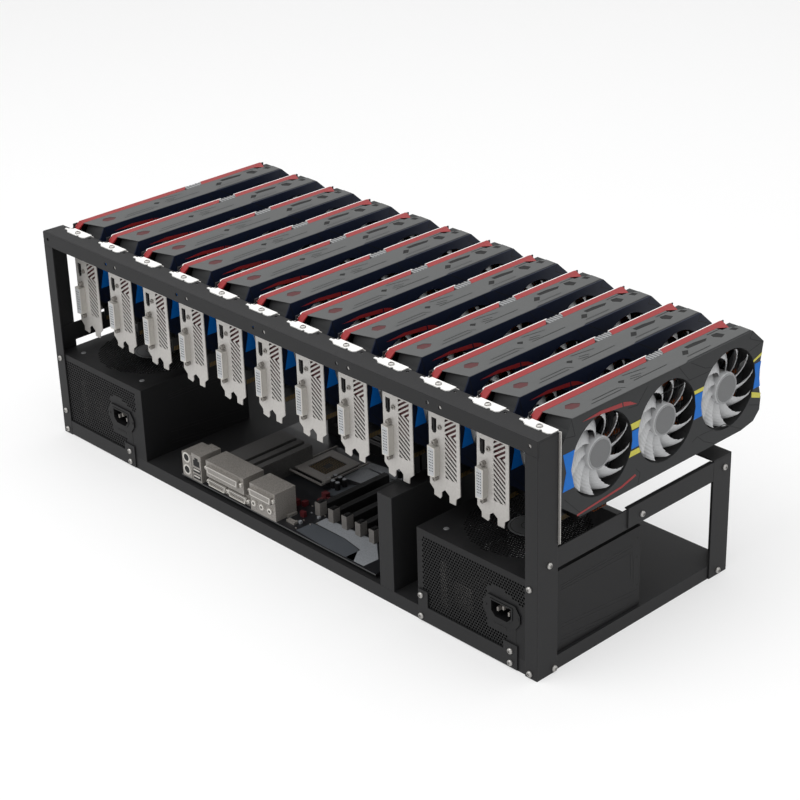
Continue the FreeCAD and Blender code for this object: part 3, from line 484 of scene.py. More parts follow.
def backplate_mesh(bm):
    """The back sheet, its red flange with a white edge, and the link contacts between.

    Material places: 0 sheet, 1 flange, 2 edge, 3 contacts.
    """
    low = corners("card_backplates")[0].z
    side_plate(bm, [[(30, low), (303, low), (303, CARD_TOP - 1.3), (30, CARD_TOP - 1.3)]],
               0, 1.2, 0)
    top = CARD_TOP - 1.2
    for outline in ([(1.3, 38), (9.7, 38), (9.4, 178.5), (1.3, 186)],
                    [(1.3, 208), (9.7, 203), (9.7, 280), (16.3, 281), (16.8, 290.5),
                     (2.5, 298.4), (1.3, 297)]):
        top_plate(bm, [outline], top, 1.2, 1)
    for start, end in ((37.5, 188.5), (207, 297)):
        top_plate(bm, [rect(0, 1.25, start, end)], top, 1.2, 2)
    for x0, x1, index in ((1.3, 9.7, 1), (0, 1.3, 2)):
        plate(bm, [[(38, top), (38, top + 1.2), (29.6, 244.6), (29.6, 241.5)]], (x0, 0, 0), Y, Z,
              X * (x1 - x0), index)
    top_plate(bm, [rect(1, 9.6, 187, 205)], top - 6, 5.4, 3)
    for tooth in range(6):
        start = 183.5 + 4.1 * tooth
        block(bm, (0.8 + 0.5 * (tooth % 2), start, top - 3), (9.4, start + 2.6, top + 0.9), 3)


def board_mesh(bm):
    """The circuit board with its edge connector, coils, capacitors and power stages.

    Material places: 0 laminate, 1 contacts, 2 black, 3 metal, 4 grey, 5 copper.
    """
    low, high = corners("card_circuit_boards")
    front, rear, drop = low.y, high.y, low.z - 7
    edge = [(front, low.z + 8), (58, low.z + 8), (58, drop), (91, drop), (91, drop + 6),
            (94, drop + 6), (94, drop), (242, drop), (242, low.z + 8), (rear, low.z + 8),
            (rear, high.z), (front, high.z)]
    side_plate(bm, [edge], 2, 1.6, 0)
    for finger in range(41):
        y = 59.5 + 2.0 * finger
        if not 90 < y < 95:
            block(bm, (3.5, y, drop + 0.6), (3.75, y + 1.2, drop + 5.5), 1)
    for part in range(24):
        y, tall = 98 + 5.9 * part, 6 + 9 * ((part * 7) % 3) / 2
        block(bm, (3.5, y, drop + 6 + part % 3), (3.5 + tall, y + 3.9, drop + 14),
              (2, 4, 2, 3)[part % 4])
    for part in range(6):
        y = 138 + 5.4 * part
        turned(bm, [(0, 0), (2.2, 0), (2.2, 13.5), (1.6, 14), (0, 14)], (3.5, y, drop + 10), X,
               12, 3)
    block(bm, (3.5, 78, drop + 3), (17, 90, drop + 11), 2)
    for coil in range(3):
        block(bm, (3.5, 98 + 6.4 * coil, drop + 4), (18, 103.4 + 6.4 * coil, drop + 12), 5)
        block(bm, (17, 98.6 + 6.4 * coil, drop + 5), (18.3, 102.8 + 6.4 * coil, drop + 11), 2)
    for part in range(9):
        y = 36 + 12 * part
        block(bm, (3.5, y, low.z + 9.5), (7, y + 5, low.z + 13.5), 2 + part % 2)


def heatsink_mesh(bm):
    """A stack of thin fins across the card, heat pipes along it and the fans' arms.

    Material places: 0 fins, 1 pipes, 2 arms.
    """
    low, high = corners("card_heatsinks")
    start = low.x - FIRST_CARD
    block(bm, (start, low.y, low.z + 6), (start + 3, high.y, high.z - 6), 0)
    count = 66
    pitch = (high.y - low.y - 0.6) / (count - 1)
    for fin in range(count):
        y = low.y + pitch * fin
        block(bm, (start + 2.8, y, low.z), (start + 15.4, y + 0.6, high.z), 0)
    for z in (low.z + 18, low.z + 43, low.z + 68):
        turned(bm, [(0, 0), (3, 0), (3, high.y - low.y - 2), (0, high.y - low.y - 2)],
               (start + 12.5, low.y + 1, z), Y, 12, 1)
    for y, z in FAN_CENTRES:
        block(bm, (start + 15.5, y - 13, z - 6), (start + 17.6, y + 13, z + 6), 2)
        for turn in (45, 165, 285):
            angle = math.radians(turn)
            reach = (y + OPENING * math.cos(angle), z + OPENING * math.sin(angle))
            side = (-2 * math.sin(angle), 2 * math.cos(angle))
            arm = [(y + side[0], z + side[1]), (y - side[0], z - side[1]),
                   (reach[0] - side[0], reach[1] - side[1]),
                   (reach[0] + side[0], reach[1] + side[1])]
            side_plate(bm, [arm], start + 16, 1.4, 2)


BLADE_ROWS, BLADE_COLUMNS, BLADE_PITCH, BLADE_ROOT = 34, 6, math.radians(38), 1.2
RIBS, JAGS, JAG_DEPTH, BELLY, SWEEP, HALF_THICK = 8, 5.5, 1.9, 1.1, 0.42, 0.5


def blade_face(bm, start, face, hub, tip, depth, chords, ripple):
    """One face of a twisted, ribbed blade with a jagged end, as rows of points outwards."""
    grid = []
    for row in range(BLADE_ROWS):
        part = row / (BLADE_ROWS - 1)
        radius = hub - BLADE_ROOT + (tip - hub + BLADE_ROOT) * part
        chord = chords[0] + (chords[1] - chords[0]) * part ** 0.8
        rib = ripple * math.sin(math.tau * RIBS * part)
        jag = JAG_DEPTH * ((part * JAGS) % 1.0) * part
        line = []
        for column in range(BLADE_COLUMNS):
            across = column / (BLADE_COLUMNS - 1)
            span = (across - 0.42 + 0.10 * part ** 2) * chord
            span += jag * (across - 0.2) - 1.1 * part ** 6 * (1 - across)
            belly = BELLY * math.sin(math.pi * across) * part
            height = depth * 0.40 + span * math.sin(BLADE_PITCH) + belly * math.cos(BLADE_PITCH)
            height += (rib * part + face * HALF_THICK) * math.cos(BLADE_PITCH)
            height = min(max(height, 0.2), depth + 0.9)
            turn = (span * math.cos(BLADE_PITCH) - belly * math.sin(BLADE_PITCH)) / radius
            turn += SWEEP * part ** 1.6 + start
            reach = min(radius, tip) - 0.7 * part ** 8 * (1 - across)
            line.append(bm.verts.new((height, -reach * math.sin(turn), reach * math.cos(turn))))
        grid.append(line)
    return grid


def rotor_mesh(name, hub, tip, depth, count, chords, ripple):
    """A fan rotor about X from its back: hub, ring, and ribbed blades with jagged ends."""
    bm = bmesh.new()
    turned(bm, [(0, 0), (hub - 1, 0), (hub, 1), (hub, depth - 1.4), (hub - 0.5, depth - 0.6),
                (hub - 1.4, depth - 0.3), (hub - 2.1, depth - 0.5), (0, depth - 0.5)],
           (0, 0, 0), X, 48, 0)
    turned(bm, [(0, depth - 0.55), (hub - 2.6, depth - 0.55), (hub - 2.6, depth - 0.35),
                (0, depth - 0.35)], (0, 0, 0), X, 48, 1)
    turned(bm, [(hub - 2.5, depth - 0.5), (hub - 2.1, depth - 0.1), (hub - 1, depth - 0.1),
                (hub - 0.6, depth - 0.5)], (0, 0, 0), X, 48, 2)
    for blade in range(count):
        back, front = grids = [blade_face(bm, math.tau * blade / count, face, hub, tip, depth,
                                          chords, ripple) for face in (-1, 1)]
        for row in range(BLADE_ROWS - 1):
            for column in range(BLADE_COLUMNS - 1):
                for grid in grids:
                    bm.faces.new((grid[row][column], grid[row][column + 1],
                                  grid[row + 1][column + 1], grid[row + 1][column]))
            for column in (0, BLADE_COLUMNS - 1):
                bm.faces.new((back[row][column], back[row + 1][column],
                              front[row + 1][column], front[row][column]))
        for row in (0, BLADE_ROWS - 1):
            for column in range(BLADE_COLUMNS - 1):
                bm.faces.new((back[row][column], back[row][column + 1],
                              front[row][column + 1], front[row][column]))
    return mesh_of(name, bm, [FAN, FAN_HUB, FAN_RING], 45)


def one_mesh(name, build, mats):
    """A mesh from a builder, to be shared by several objects."""
    bm = bmesh.new()
    build(bm)
    return mesh_of(name, bm, mats)


def on_every_card(name, build, mats, node, bevel=0.0, nearest=None):
    """The same piece on each card; the nearest card may have its own first material."""
    mesh = own = one_mesh(name, build, mats)
    if nearest:
        own = mesh.copy()
        own.materials[0] = nearest
    for card in range(CARD_COUNT):
        last = card == CARD_COUNT - 1
        made = stand(f"{name}_{card + 1:02d}", own if last else mesh, RIG, bevel,
                     shift(x=FIRST_CARD + CARD_PITCH * card))
        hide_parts(node)


def cards():
    """Covers, backplates, boards, heatsinks and fans of all cards, and the supplies' fans."""
    # The nearest card's fan side keeps the lit dark grey; the others carry the navy painted shade.
    on_every_card("cover", cover_mesh, [COVER_SHADED_NAVY, COVER, SHADE_PIT, CARD_GREY, BLUE, YELLOW, RED,
                                        COVER_SEAM_SHADE, SHADED_RED],
                  "card_fan_covers", 0.3, COVER)
    on_every_card("backplate", backplate_mesh, [CARD_MARK, RED, WHITE, FAN_RING],
                  "card_backplates", 0.15)
    on_every_card("card_board", board_mesh, [LAMINATE, GOLD, BLACK, PORT_METAL, CARD_MARK,
                                             COPPER], "card_circuit_boards")
    on_every_card("card_fins", heatsink_mesh, [ALUMINIUM, COPPER, BLACK],
                  "card_heatsinks")
    mesh = rotor_mesh("rotor", 16, FAN_TIP, 14, 11, (10, 25), 0.42)
    for card in range(CARD_COUNT):
        for spot in FAN_SPOTS:
            body = f"card_{card + 1:02d}_fan_{spot}"
            hub = HUB_PLACES[body]
            back = corners(body)[0].x
            turn = Matrix.Rotation(math.pi / 2 * ((3 * card + FAN_SPOTS.index(spot)) % 4), 4, "X")
            made = stand(f"rotor_{card + 1:02d}_{spot}", mesh, body, 0,
                         shift(back, hub.y, hub.z) @ turn)
            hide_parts(body)
    supply = rotor_mesh("supply_rotor", 20, 55, 18, 7, (17, 30), 0.0)
    for side in ("left", "right"):
        body = f"supply_fan_{side}"
        hub = HUB_PLACES[body]
        back = corners(body)[0].z
        made = stand(f"supply_rotor_{side}", supply, body, 0,
                     shift(hub.x, hub.y, back) @ Matrix.Rotation(-math.pi / 2, 4, "Y"))
        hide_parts(body)


cards()


# Brackets, screws, power supplies and motherboard

VENT_LOW, VENT_TOP, VENT_MIDDLE, VENT_LEFT, VENT_RIGHT = 147.0, 209.0, 193.0, 21.9, 36.6
BRACKET_BACK = corners("card_brackets")[1].y
BRACKET_TOP = corners("card_brackets")[1].z


def clipped(points, level, keep_above):
    """The part of a polygon above or below a level of its second coordinate."""
    kept = []
    for (x0, z0), (x1, z1) in zip(points, points[1:] + points[:1]):
        inside, following = (z0 >= level) == keep_above, (z1 >= level) == keep_above
        if inside:
            kept.append((x0, z0))
        if inside != following:
            kept.append((x0 + (x1 - x0) * (level - z0) / (z1 - z0), level))
    return kept


def vents():
    """Slanted slots under nested chevrons, clipped to the vent field."""
    wide, slope, pitch, tall = VENT_RIGHT - VENT_LEFT, 0.7, 5.0, 2.7
    shapes, fall = [], wide * slope
    for number in range(1, 10):
        lower, upper = VENT_MIDDLE - pitch * number, VENT_MIDDLE + pitch * number
        shapes.append([(VENT_LEFT, lower), (VENT_RIGHT, lower - fall),
                       (VENT_RIGHT, lower - fall + tall), (VENT_LEFT, lower + tall)])
        shapes.append([(VENT_LEFT, upper - tall), (VENT_RIGHT, upper + fall - tall),
                       (VENT_RIGHT, upper + fall), (VENT_LEFT, upper)])
    for start in (0.0, pitch / slope):
        reach = (wide - start) * slope
        shapes.append([(VENT_LEFT + start, VENT_MIDDLE), (VENT_RIGHT, VENT_MIDDLE - reach),
                       (VENT_RIGHT, VENT_MIDDLE - reach + tall),
                       (VENT_LEFT + start + tall / slope, VENT_MIDDLE),
                       (VENT_RIGHT, VENT_MIDDLE + reach - tall),
                       (VENT_RIGHT, VENT_MIDDLE + reach)])
    made = []
    for shape in shapes:
        shape = clipped(shape, VENT_LOW, True)
        shape = clipped(shape, VENT_TOP, False) if shape else shape
        heights = [point[1] for point in shape]
        if len(shape) > 2 and max(heights) - min(heights) > 0.8:
            made.append(shape)
    return made


def bracket_mesh(bm):
    """A slot bracket: tongued plate with vents, and a notched tab bent over the rail.

    Material places: 0 plate, 1 tab, 2 what the upper vents show (red darkened with painted shade),
    3 what the lower ones show (a dark sheet of painted shade).
    """
    low, top, back = corners("card_brackets")[0].z, BRACKET_TOP - 1, BRACKET_BACK
    face = [(1, top), (1, low + 12), (6.5, low + 7), (6.5, low + 1.5), (14.5, low),
            (16.4, low + 2.5), (16.4, low + 7.5), (21, low + 11.2), (26.6, low + 7.2),
            (26.6, low), (34.8, low), (35.6, low + 6.5), (41, low + 11), (41, top)]
    connector = [(4.6, 205.4), (11.2, 205.4), (11.2, 193), (9.6, 190), (6.2, 190), (4.6, 193)]
    front_plate(bm, [face, connector] + vents(), back - 1, 1, 0)
    tab = [(-2, 20.5), (3.6, 20.2), (5, 18.4), (7, 18.4), (7.6, 16.6), (24.5, 16.6),
           (25.4, 18.4), (27.6, 18.4), (28.4, 16.6), (35, 16.6), (37.4, 19), (37.4, back),
           (6, back), (6, 25), (2, 25), (2, 23), (-2, 23)]
    top_plate(bm, [tab], top, 1, 1)
    # Sheets behind the vents: painted shade of the card's inside.
    front_plate(bm, [rect(20.5, 38, VENT_LOW - 3, VENT_MIDDLE - 24)], back + 1.2, 0.5, 3)
    front_plate(bm, [rect(20.5, 38, VENT_MIDDLE - 24, VENT_TOP + 3)], back + 1.2, 0.5, 2)


def port_mesh(bm):
    """Display connectors: a long one with rows of contacts, a small one and hex screws.

    Material places: 0 shell, 1 face, 2 contacts and cavity, near-black with painted shade, 3
    screws.
    """
    face = BRACKET_BACK - 1
    low, high = corners("card_display_ports")
    shell = [(5.5, low.z), (14.5, low.z + 0.8), (15, high.z - 0.8), (5.5, high.z)]
    front_plate(bm, [shell], low.y, face - low.y, 0)
    front_plate(bm, [[(6.5, low.z + 1.2), (13.4, low.z + 2), (13.6, high.z - 2),
                      (6.5, high.z - 1.2)]], low.y - 0.15, 0.15, 1)
    for row in range(8):
        for column in range(3):
            x, z = 7.7 + 2 * column, low.z + 6 + 2.9 * row
            block(bm, (x, low.y - 0.3, z), (x + 0.9, low.y, z + 1.1), 2)
    for x, z in ((10.6, high.z + 3.2), (11, low.z - 3.0)):
        turned(bm, [(0, 0), (2.6, 0), (2.6, 4.5), (1.6, 5.2), (1.2, 5.2), (1.2, 4), (0, 4)],
               (x, face + 0.1, z), -Y, 6, 3)
    turned(bm, [(1.2, 0), (2.4, 0), (2.4, 1.4), (1.2, 1.4), (1.2, 0)], (15.6, face + 0.1, 198),
           -Y, 16, 3)
    # Dark plates behind the bracket's opening: painted shade of the cavity.
    front_plate(bm, [rect(4.2, 11.6, 189.6, 205.8)], face + 1.6, 0.6, 2)
    front_plate(bm, [rect(7.2, 8.6, 192.5, 203.5)], face - 0.2, 1.8, 2)


def screw_spots():
    """The middle of each screw's seat and its axis, from the CAD node's separate solids."""
    bm = bmesh.new()
    bm.from_mesh(frame["nodes"]["pan_head_screws"].data)
    bmesh.ops.remove_doubles(bm, verts=bm.verts, dist=1e-6)
    left = set(bm.verts)
    spots = []
    while left:
        first = min(left, key=lambda v: v.index)
        island, queue = {first}, [first]
        while queue:
            for edge in queue.pop().link_edges:
                for vert in edge.verts:
                    if vert not in island:
                        island.add(vert)
                        queue.append(vert)
        left -= island
        low = Vector([min(v.co[i] for v in island) for i in range(3)])
        high = Vector([max(v.co[i] for v in island) for i in range(3)])
        spots.append((local(low), local(high)))
    bm.free()
    return sorted(spots, key=lambda spot: tuple(round(c, 3) for c in spot[0]))


def screw_heads():
    """Pan heads with a driver recess, standing on their seats."""
    bm = bmesh.new()
    for low, high in screw_spots():
        size, middle = high - low, (low + high) / 2
        thin = min(range(3), key=lambda i: size[i])
        out = Vector((0, 0, 0))
        out[thin] = 1
        if thin == 1 or thin == 0 and middle.x < LENGTH / 2:
            out = -out
        seat = middle - out * size[thin] / 2
        tall, radius = size[thin], size[(thin + 1) % 3] / 2
        rim = [(0, 0), (radius, 0), (radius, tall * 0.35), (radius * 0.93, tall * 0.62),
               (radius * 0.74, tall * 0.86), (radius * 0.5, tall * 0.98), (radius * 0.46, tall)]
        turned(bm, rim + [(radius * 0.44, tall * 0.6), (0, tall * 0.55)], seat, out, 20, 0)
        side = out.orthogonal().normalized()
        other = out.cross(side)
        for one, two in ((side, other), (other, side)):
            plate(bm, [rect(-radius * 0.4, radius * 0.4, -radius * 0.11, radius * 0.11)],
                  seat + out * tall * 0.55, one, two, out * tall * 0.2, 0)
        # The recess's floor, dark with painted shade.
        turned(bm, [(radius * 0.46, tall * 0.62), (radius * 0.30, tall * 0.57), (0, tall * 0.57)],
               seat, out, 20, 1)
    heads = finish("screw_heads", bm, [SCREW, CARD_MARK], sharp=35)
    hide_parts("pan_head_screws")


MESH_PITCH, MESH_HOLE = 3.35, 0.41


def perforated(bm, x0, x1, z0, z1, kind):
    """Flat cells over a rectangle in U and V; kind gives solid, open or none for a cell."""
    rise = MESH_PITCH * math.sqrt(3) / 2
    rows = max(1, round((z1 - z0) / rise))
    columns = max(1, round((x1 - x0) / MESH_PITCH))
    step, tall = (x1 - x0) / columns, (z1 - z0) / rows
    hole = MESH_PITCH * MESH_HOLE
    for row in range(rows):
        low = z0 + tall * row
        start = -0.5 if row % 2 else 0.0
        for column in range(columns + (row % 2)):
            left = x0 + step * (column + start)
            right = min(left + step, x1)
            left = max(left, x0)
            middle, height = left + step / 2, low + tall / 2
            full = right - left > step * 0.9
            what = kind(middle, height) if full else "solid"
            if what == "none":
                continue
            half = (left + right) / 2
            if full:
                outer = [(left, low), (half, low), (right, low), (right, low + tall),
                         (half, low + tall), (left, low + tall)]
            else:
                outer = rect(left, right, low, low + tall)
            corners = [bm.verts.new((u, v, 0)) for u, v in outer]
            if what == "solid":
                bm.faces.new(corners)
                continue
            inner = [bm.verts.new((middle + hole * math.cos(a), height + hole * math.sin(a), 0))
                     for a in (math.radians(d) for d in (210, 270, 330, 30, 90, 150))]
            for i in range(6):
                j = (i + 1) % 6
                bm.faces.new((corners[i], corners[j], inner[j], inner[i]))


def sheet_of(bm, fill, origin, across, up, out):
    """Adds flat cells as a plate of some thickness, set on a plane of the rig."""
    flat = bmesh.new()
    fill(flat)
    bmesh.ops.remove_doubles(flat, verts=flat.verts, dist=0.01)
    made = bmesh.ops.extrude_face_region(flat, geom=flat.faces[:], use_keep_orig=True)["geom"]
    bmesh.ops.translate(flat, vec=(0, 0, 1), verts=[v for v in made if isinstance(v, BMVert)])
    origin, across, up, out = (Vector(v) for v in (origin, across, up, out))
    for vert in flat.verts:
        u, v, w = vert.co
        vert.co = origin + across * u + up * v + out * w
    mesh = bpy.data.meshes.new("cells")
    flat.to_mesh(mesh)
    flat.free()
    bm.from_mesh(mesh)
    bpy.data.meshes.remove(mesh)


SUPPLY_LOW = corners("supply_covers")[0]
SUPPLY_BACK = corners("supply_cases")[1].y
INLET = (110.5, corners("supply_inlets")[0].z + 12.5)
FAN_PLACE = (SUPPLY_WIDE / 2, HUB_PLACES["supply_fan_left"].y)


def front_cell(x, z):
    """What the power supply's front has at a place: mesh, plain sheet or the inlet's hole."""
    from_inlet = (abs(x - INLET[0]), abs(z - INLET[1]))
    if from_inlet[0] < 15.5 and from_inlet[1] < 10.5:
        return "none"
    if x > 138 or x < 7 or z > 94 or z < 19:
        return "solid"
    if x > 91 and 33 < z < 81 - 0.35 * abs(x - 105) or x > 124 and z < 66 or \
            x > 116 and 25 < z < 33:
        return "solid"
    return "open"


def top_cell(x, y):
    """What the power supply's top has at a place: the fan's mesh or plain sheet."""
    reach = math.hypot(x - FAN_PLACE[0], y - FAN_PLACE[1])
    return "open" if 20 < reach < 60 else "solid"


def supply_mesh(bm):
    """One power supply: perforated front, cover with a hexagonal mesh, disc and embossing.

    Material places: 0 sheet, 1 disc and rivets, 2 lines, 3 holes and slots as dark marks of
    painted shade, 4 metal inside, 5 board inside.
    """
    low, top, wide, front = SUPPLY_LOW.z, SUPPLY_TOP, SUPPLY_WIDE, 1.5
    sheet_of(bm, lambda flat: perforated(flat, 1, wide - 1, low, top - 1, front_cell),
             (0, front, 0), X, Z, Y)
    sheet_of(bm, lambda flat: perforated(flat, 0, wide, front, SUPPLY_BACK, top_cell),
             (0, 0, top - 1), X, Y, Z)
    for x in (0, wide - 1):
        side_plate(bm, [rect(front, SUPPLY_BACK, low, top - 1)], x, 1, 0)
    front_plate(bm, [rect(1, wide - 1, low, top - 1)] +
                [round_loop(24, low + 40, 11, 20)], SUPPLY_BACK - 1, 1, 0)
    top_plate(bm, [rect(1, wide - 1, front + 1, SUPPLY_BACK - 1)], low, 1, 0)
    x, y = FAN_PLACE
    turned(bm, [(0, 0), (19.5, 0), (19.5, 0.7), (18.7, 1.0), (0, 1.0)], (x, y, top - 0.5), Z,
           48, 1)
    for radius in (16.8, 6.5):
        turned(bm, [(radius, 0), (radius + 0.5, 0), (radius + 0.5, 0.12), (radius, 0.12),
                    (radius, 0)], (x, y, top + 0.48), Z, 48, 2)
    for x, y in ((23, 18), (130, 18.7)):
        turned(bm, [(0, 0), (3, 0), (2.6, 0.5), (1.4, 0.7), (0, 0.7)], (x, y, top - 0.1), Z,
               20, 1)
    lines = [[(37, 84), (138, 84.5)], [(37, 78.6), (137, 76.4), (140, 40.6)],
             [(37, 42), (146, 32)], [(37, 38.5), (140, 28.5)], [(37.5, 28.5), (145, 17.5)],
             [(76, 24), (108, 21)],
             [(133, 82), (135, 48)], [(37, 25), (108, 17)], [(37, 81.5), (137, 81.5)]]
    for run in lines:
        for start, end in zip(run, run[1:]):
            side_plate(bm, [ribbon(start, end, 0.8)], wide - 0.1, 0.25, 2)
            side_plate(bm, [ribbon(start, end, 0.8)], -0.15, 0.25, 2)
    # Holes on the sides as dark discs of painted shade.
    for y, z in ((142.7, 68.9), (144.1, 37.8), (142.9, 89), (60, 22), (20, 92)):
        for x in (-0.12, wide - 0.1):
            side_plate(bm, [round_loop(y, z, 1.3, 10)], x, 0.22, 3)
    # Dark strips on the front in the same painted shade.
    front_plate(bm, [ribbon((127.3, 20), (127.3, 60), 0.8)], front - 0.15, 0.2, 3)
    front_plate(bm, [rect(100, 116, INLET[1] - 19, INLET[1] - 16)], front - 0.15, 0.2, 3)
    block(bm, (12, 22, low + 2), (52, 120, low + 30), 4)
    block(bm, (62, 26, low + 2), (98, 110, low + 22), 5)
    block(bm, (20, 12, low + 2), (28, 18, low + 52), 4)


def inlet_mesh(bm):
    """A mains inlet: an eared flange, a raised rim round a keyed cavity and three pins."""
    x, z = INLET
    lowest = corners("supply_inlets")[0].y
    flange = [(x - 23, z - 4), (x - 17, z - 12.4), (x + 17, z - 12.4), (x + 23, z - 4),
              (x + 23, z + 4), (x + 17, z + 12.4), (x - 17, z + 12.4), (x - 23, z + 4)]
    keyed = [(x - 7.3, z - 7.8), (x + 7.3, z - 7.8), (x + 12.3, z - 2.8), (x + 12.3, z + 7.8),
             (x - 12.3, z + 7.8), (x - 12.3, z - 2.8)]
    grown = [(x + (u - x) * 1.14, z + (v - z) * 1.2) for u, v in keyed]
    front_plate(bm, [flange, keyed], lowest + 0.5, 1.5, 0)
    front_plate(bm, [grown, keyed], lowest, 0.6, 0)
    front_plate(bm, [grown, keyed], lowest + 2, 14, 0)
    front_plate(bm, [grown], lowest + 16, 1.2, 0)
    for across, rise in ((-1, -1.2), (0, 2.6), (1, -1.2)):
        block(bm, (x + 7 * across - 1, lowest + 3, z + rise - 2),
              (x + 7 * across + 1, lowest + 16, z + rise + 2), 1)
    for side in (-20, 20):
        turned(bm, [(0, 0), (1.9, 0), (1.5, 0.5), (0, 0.55)], (x + side, lowest + 0.55, z), -Y,
               12, 0)


def port_shell(bm, x0, x1, z0, z1, y):
    """A connector shell with slanted ends round a darker face with two rows of contacts."""
    slant = (z1 - z0) * 0.22
    loop = [(x0 + slant, z0), (x1 - slant, z0), (x1, z1), (x0, z1)]
    inner = [(x0 + slant + 0.9, z0 + 0.9), (x1 - slant - 0.9, z0 + 0.9), (x1 - 1.1, z1 - 0.9),
             (x0 + 1.1, z1 - 0.9)]
    front_plate(bm, [loop, inner], y, 3, 0)
    front_plate(bm, [inner], y + 1.6, 1, 2)
    count = int((x1 - x0) / 2.6)
    for row in (0.33, 0.66):
        for pin in range(count - 2):
            x = x0 + slant + 2.6 + 2.4 * pin
            if x < x1 - slant - 2.2:
                z = z0 + (z1 - z0) * row
                block(bm, (x, y + 1.3, z - 0.35), (x + 0.7, y + 1.7, z + 0.35), 1)


def port_details(left, front, top):
    """Port fronts; material places: 0 shells and screws, 1 openings, flat dark marks of painted
    shade, 2 connector faces.
    """
    bm = bmesh.new()
    for z in (top + 8.5, top + 23):
        turned(bm, [(4.2, 0), (6.0, 0), (6.0, 0.5), (4.2, 0.5), (4.2, 0)],
               (left + 10.7, front + 0.02, z), -Y, 24, 0)
        turned(bm, [(0, 0), (4.2, 0), (4.2, 0.2), (0, 0.2)], (left + 10.7, front, z), -Y, 24, 1)
    jack = [(left + 22, top + 17.5), (left + 32.5, top + 17.5), (left + 32.5, top + 24.5),
            (left + 30, top + 24.5), (left + 30, top + 27.5), (left + 24.5, top + 27.5),
            (left + 24.5, top + 24.5), (left + 22, top + 24.5)]
    front_plate(bm, [jack], front - 0.15, 0.3, 1)
    for z in (top + 9.8, top + 2.2):
        front_plate(bm, [rect(left + 21, left + 33.5, z, z + 5.2)], front - 0.15, 0.3, 1)
        front_plate(bm, [rect(left + 22.2, left + 32.3, z + 2.6, z + 4.2)], front - 0.4, 0.3, 0)
    port_shell(bm, left + 49.5, left + 99.5, top + 20.5, top + 27.6, front - 4.2)
    port_shell(bm, left + 46, left + 74.5, top + 2.6, top + 9.8, front - 0.8)
    port_shell(bm, left + 80, left + 108.5, top + 2.6, top + 9.8, front - 0.8)
    port_shell(bm, left + 119.5, left + 152.5, top + 20.4, top + 27.6, front - 4.2)
    for x, z in ((46, 24), (103, 24), (117.6, 24), (154.4, 24), (44.6, 6.2), (76.6, 6.2),
                 (79, 6.2), (110.4, 6.2)):
        turned(bm, [(0, 0), (2.3, 0), (2.3, 2.4), (1.5, 2.9), (1.1, 2.9), (1.1, 1), (0, 1)],
               (left + x, front + (2.9 if z < 10 else 0.05), top + z), -Y, 6, 0)
    for number in range(3):
        x = left + 122.5 + 12.6 * number
        turned(bm, [(1.7, 0), (3.4, 0), (3.4, 1.6), (2.9, 2.0), (1.7, 2.0), (1.7, 0)],
               (x, front + 0.05, top + 10), -Y, 20, 0)
        turned(bm, [(0, 0), (1.7, 0), (1.7, 0.4), (0, 0.4)], (x, front, top + 10), -Y, 16, 1)
    finish("port_details", bm, [SHELL, SHADE_PIT, PORT_METAL], bevel=0.15)


def board_parts(left, top):
    """Printed patches and the small parts that stand on the motherboard.

    Material places: 0 light print, 1 slate print, 2 white print, 3 red, 4 metal, 5 black.
    """
    bm = bmesh.new()
    skin = top + 0.02
    for outline, index in (
            ([(395, 9), (437, 6.5), (483, 7.5), (470, 26), (443, 31), (396, 30)], 1),
            ([(471, 7.5), (497, 8), (498, 27), (471, 50), (399, 47), (399, 32), (443, 32),
              (472, 27)], 0),
            ([(360, 78), (388, 92), (372, 118), (352, 104)], 1),
            ([(347, 118), (392, 126), (402, 160), (380, 168), (346, 162), (333, 140)], 0),
            ([(300, 128), (333, 112), (346, 122), (332, 150), (300, 150)], 1),
            ([(402, 60), (404, 60), (380, 150), (378, 150)], 2),
            ([(352, 150), (420, 150), (420, 152), (352, 152)], 2)):
        top_plate(bm, [outline], skin, 0.05, index)
    for x, y, wide, deep, tall, index in (
            (352, 43, 6, 5, 6, 3), (360, 47, 5, 6, 5, 3), (376, 31, 6, 4, 6, 3),
            (382, 48, 6, 6, 6, 3), (361, 74, 7, 6, 5, 3), (370, 60, 4, 7, 6, 3),
            (374, 70, 8, 3, 5, 3), (366, 20, 5, 12, 3, 4), (374, 14, 12, 5, 2.5, 4),
            (388, 62, 5, 5, 3, 0), (386, 20, 3, 3, 3, 0), (392, 40, 3, 3, 2, 0),
            (505, 110, 30, 30, 5, 5), (420, 170, 7, 7, 4, 4), (300, 196, 20, 6, 6, 4)):
        x -= 212 - left
        block(bm, (x, y, top), (x + wide, y + deep, top + tall), index)
    for number in range(26):
        x, y = left + 150 + (number * 37) % 40, 10 + (number * 53) % 90
        block(bm, (x, y, top), (x + 1.8, y + 1.0, top + 0.9), 4 if number % 3 else 0)
    for x, y in ((136, 96), (143, 96), (150, 96), (136, 106), (143, 106), (150, 106),
                 (178, 160), (186, 160), (194, 160)):
        place = (left + x, y, top)
        turned(bm, [(0, 0), (3, 0), (3, 8), (2.6, 8.6), (0, 8.6)], place, Z, 16, 5)
        turned(bm, [(0, 8.6), (2.4, 8.6), (2.2, 8.8), (0, 8.8)], place, Z, 16, 0)
    finish("board_parts", bm, [SILK, SLATE, SILK_WHITE, BOARD_RED, PORT_METAL, BLACK],
           bevel=0.12)


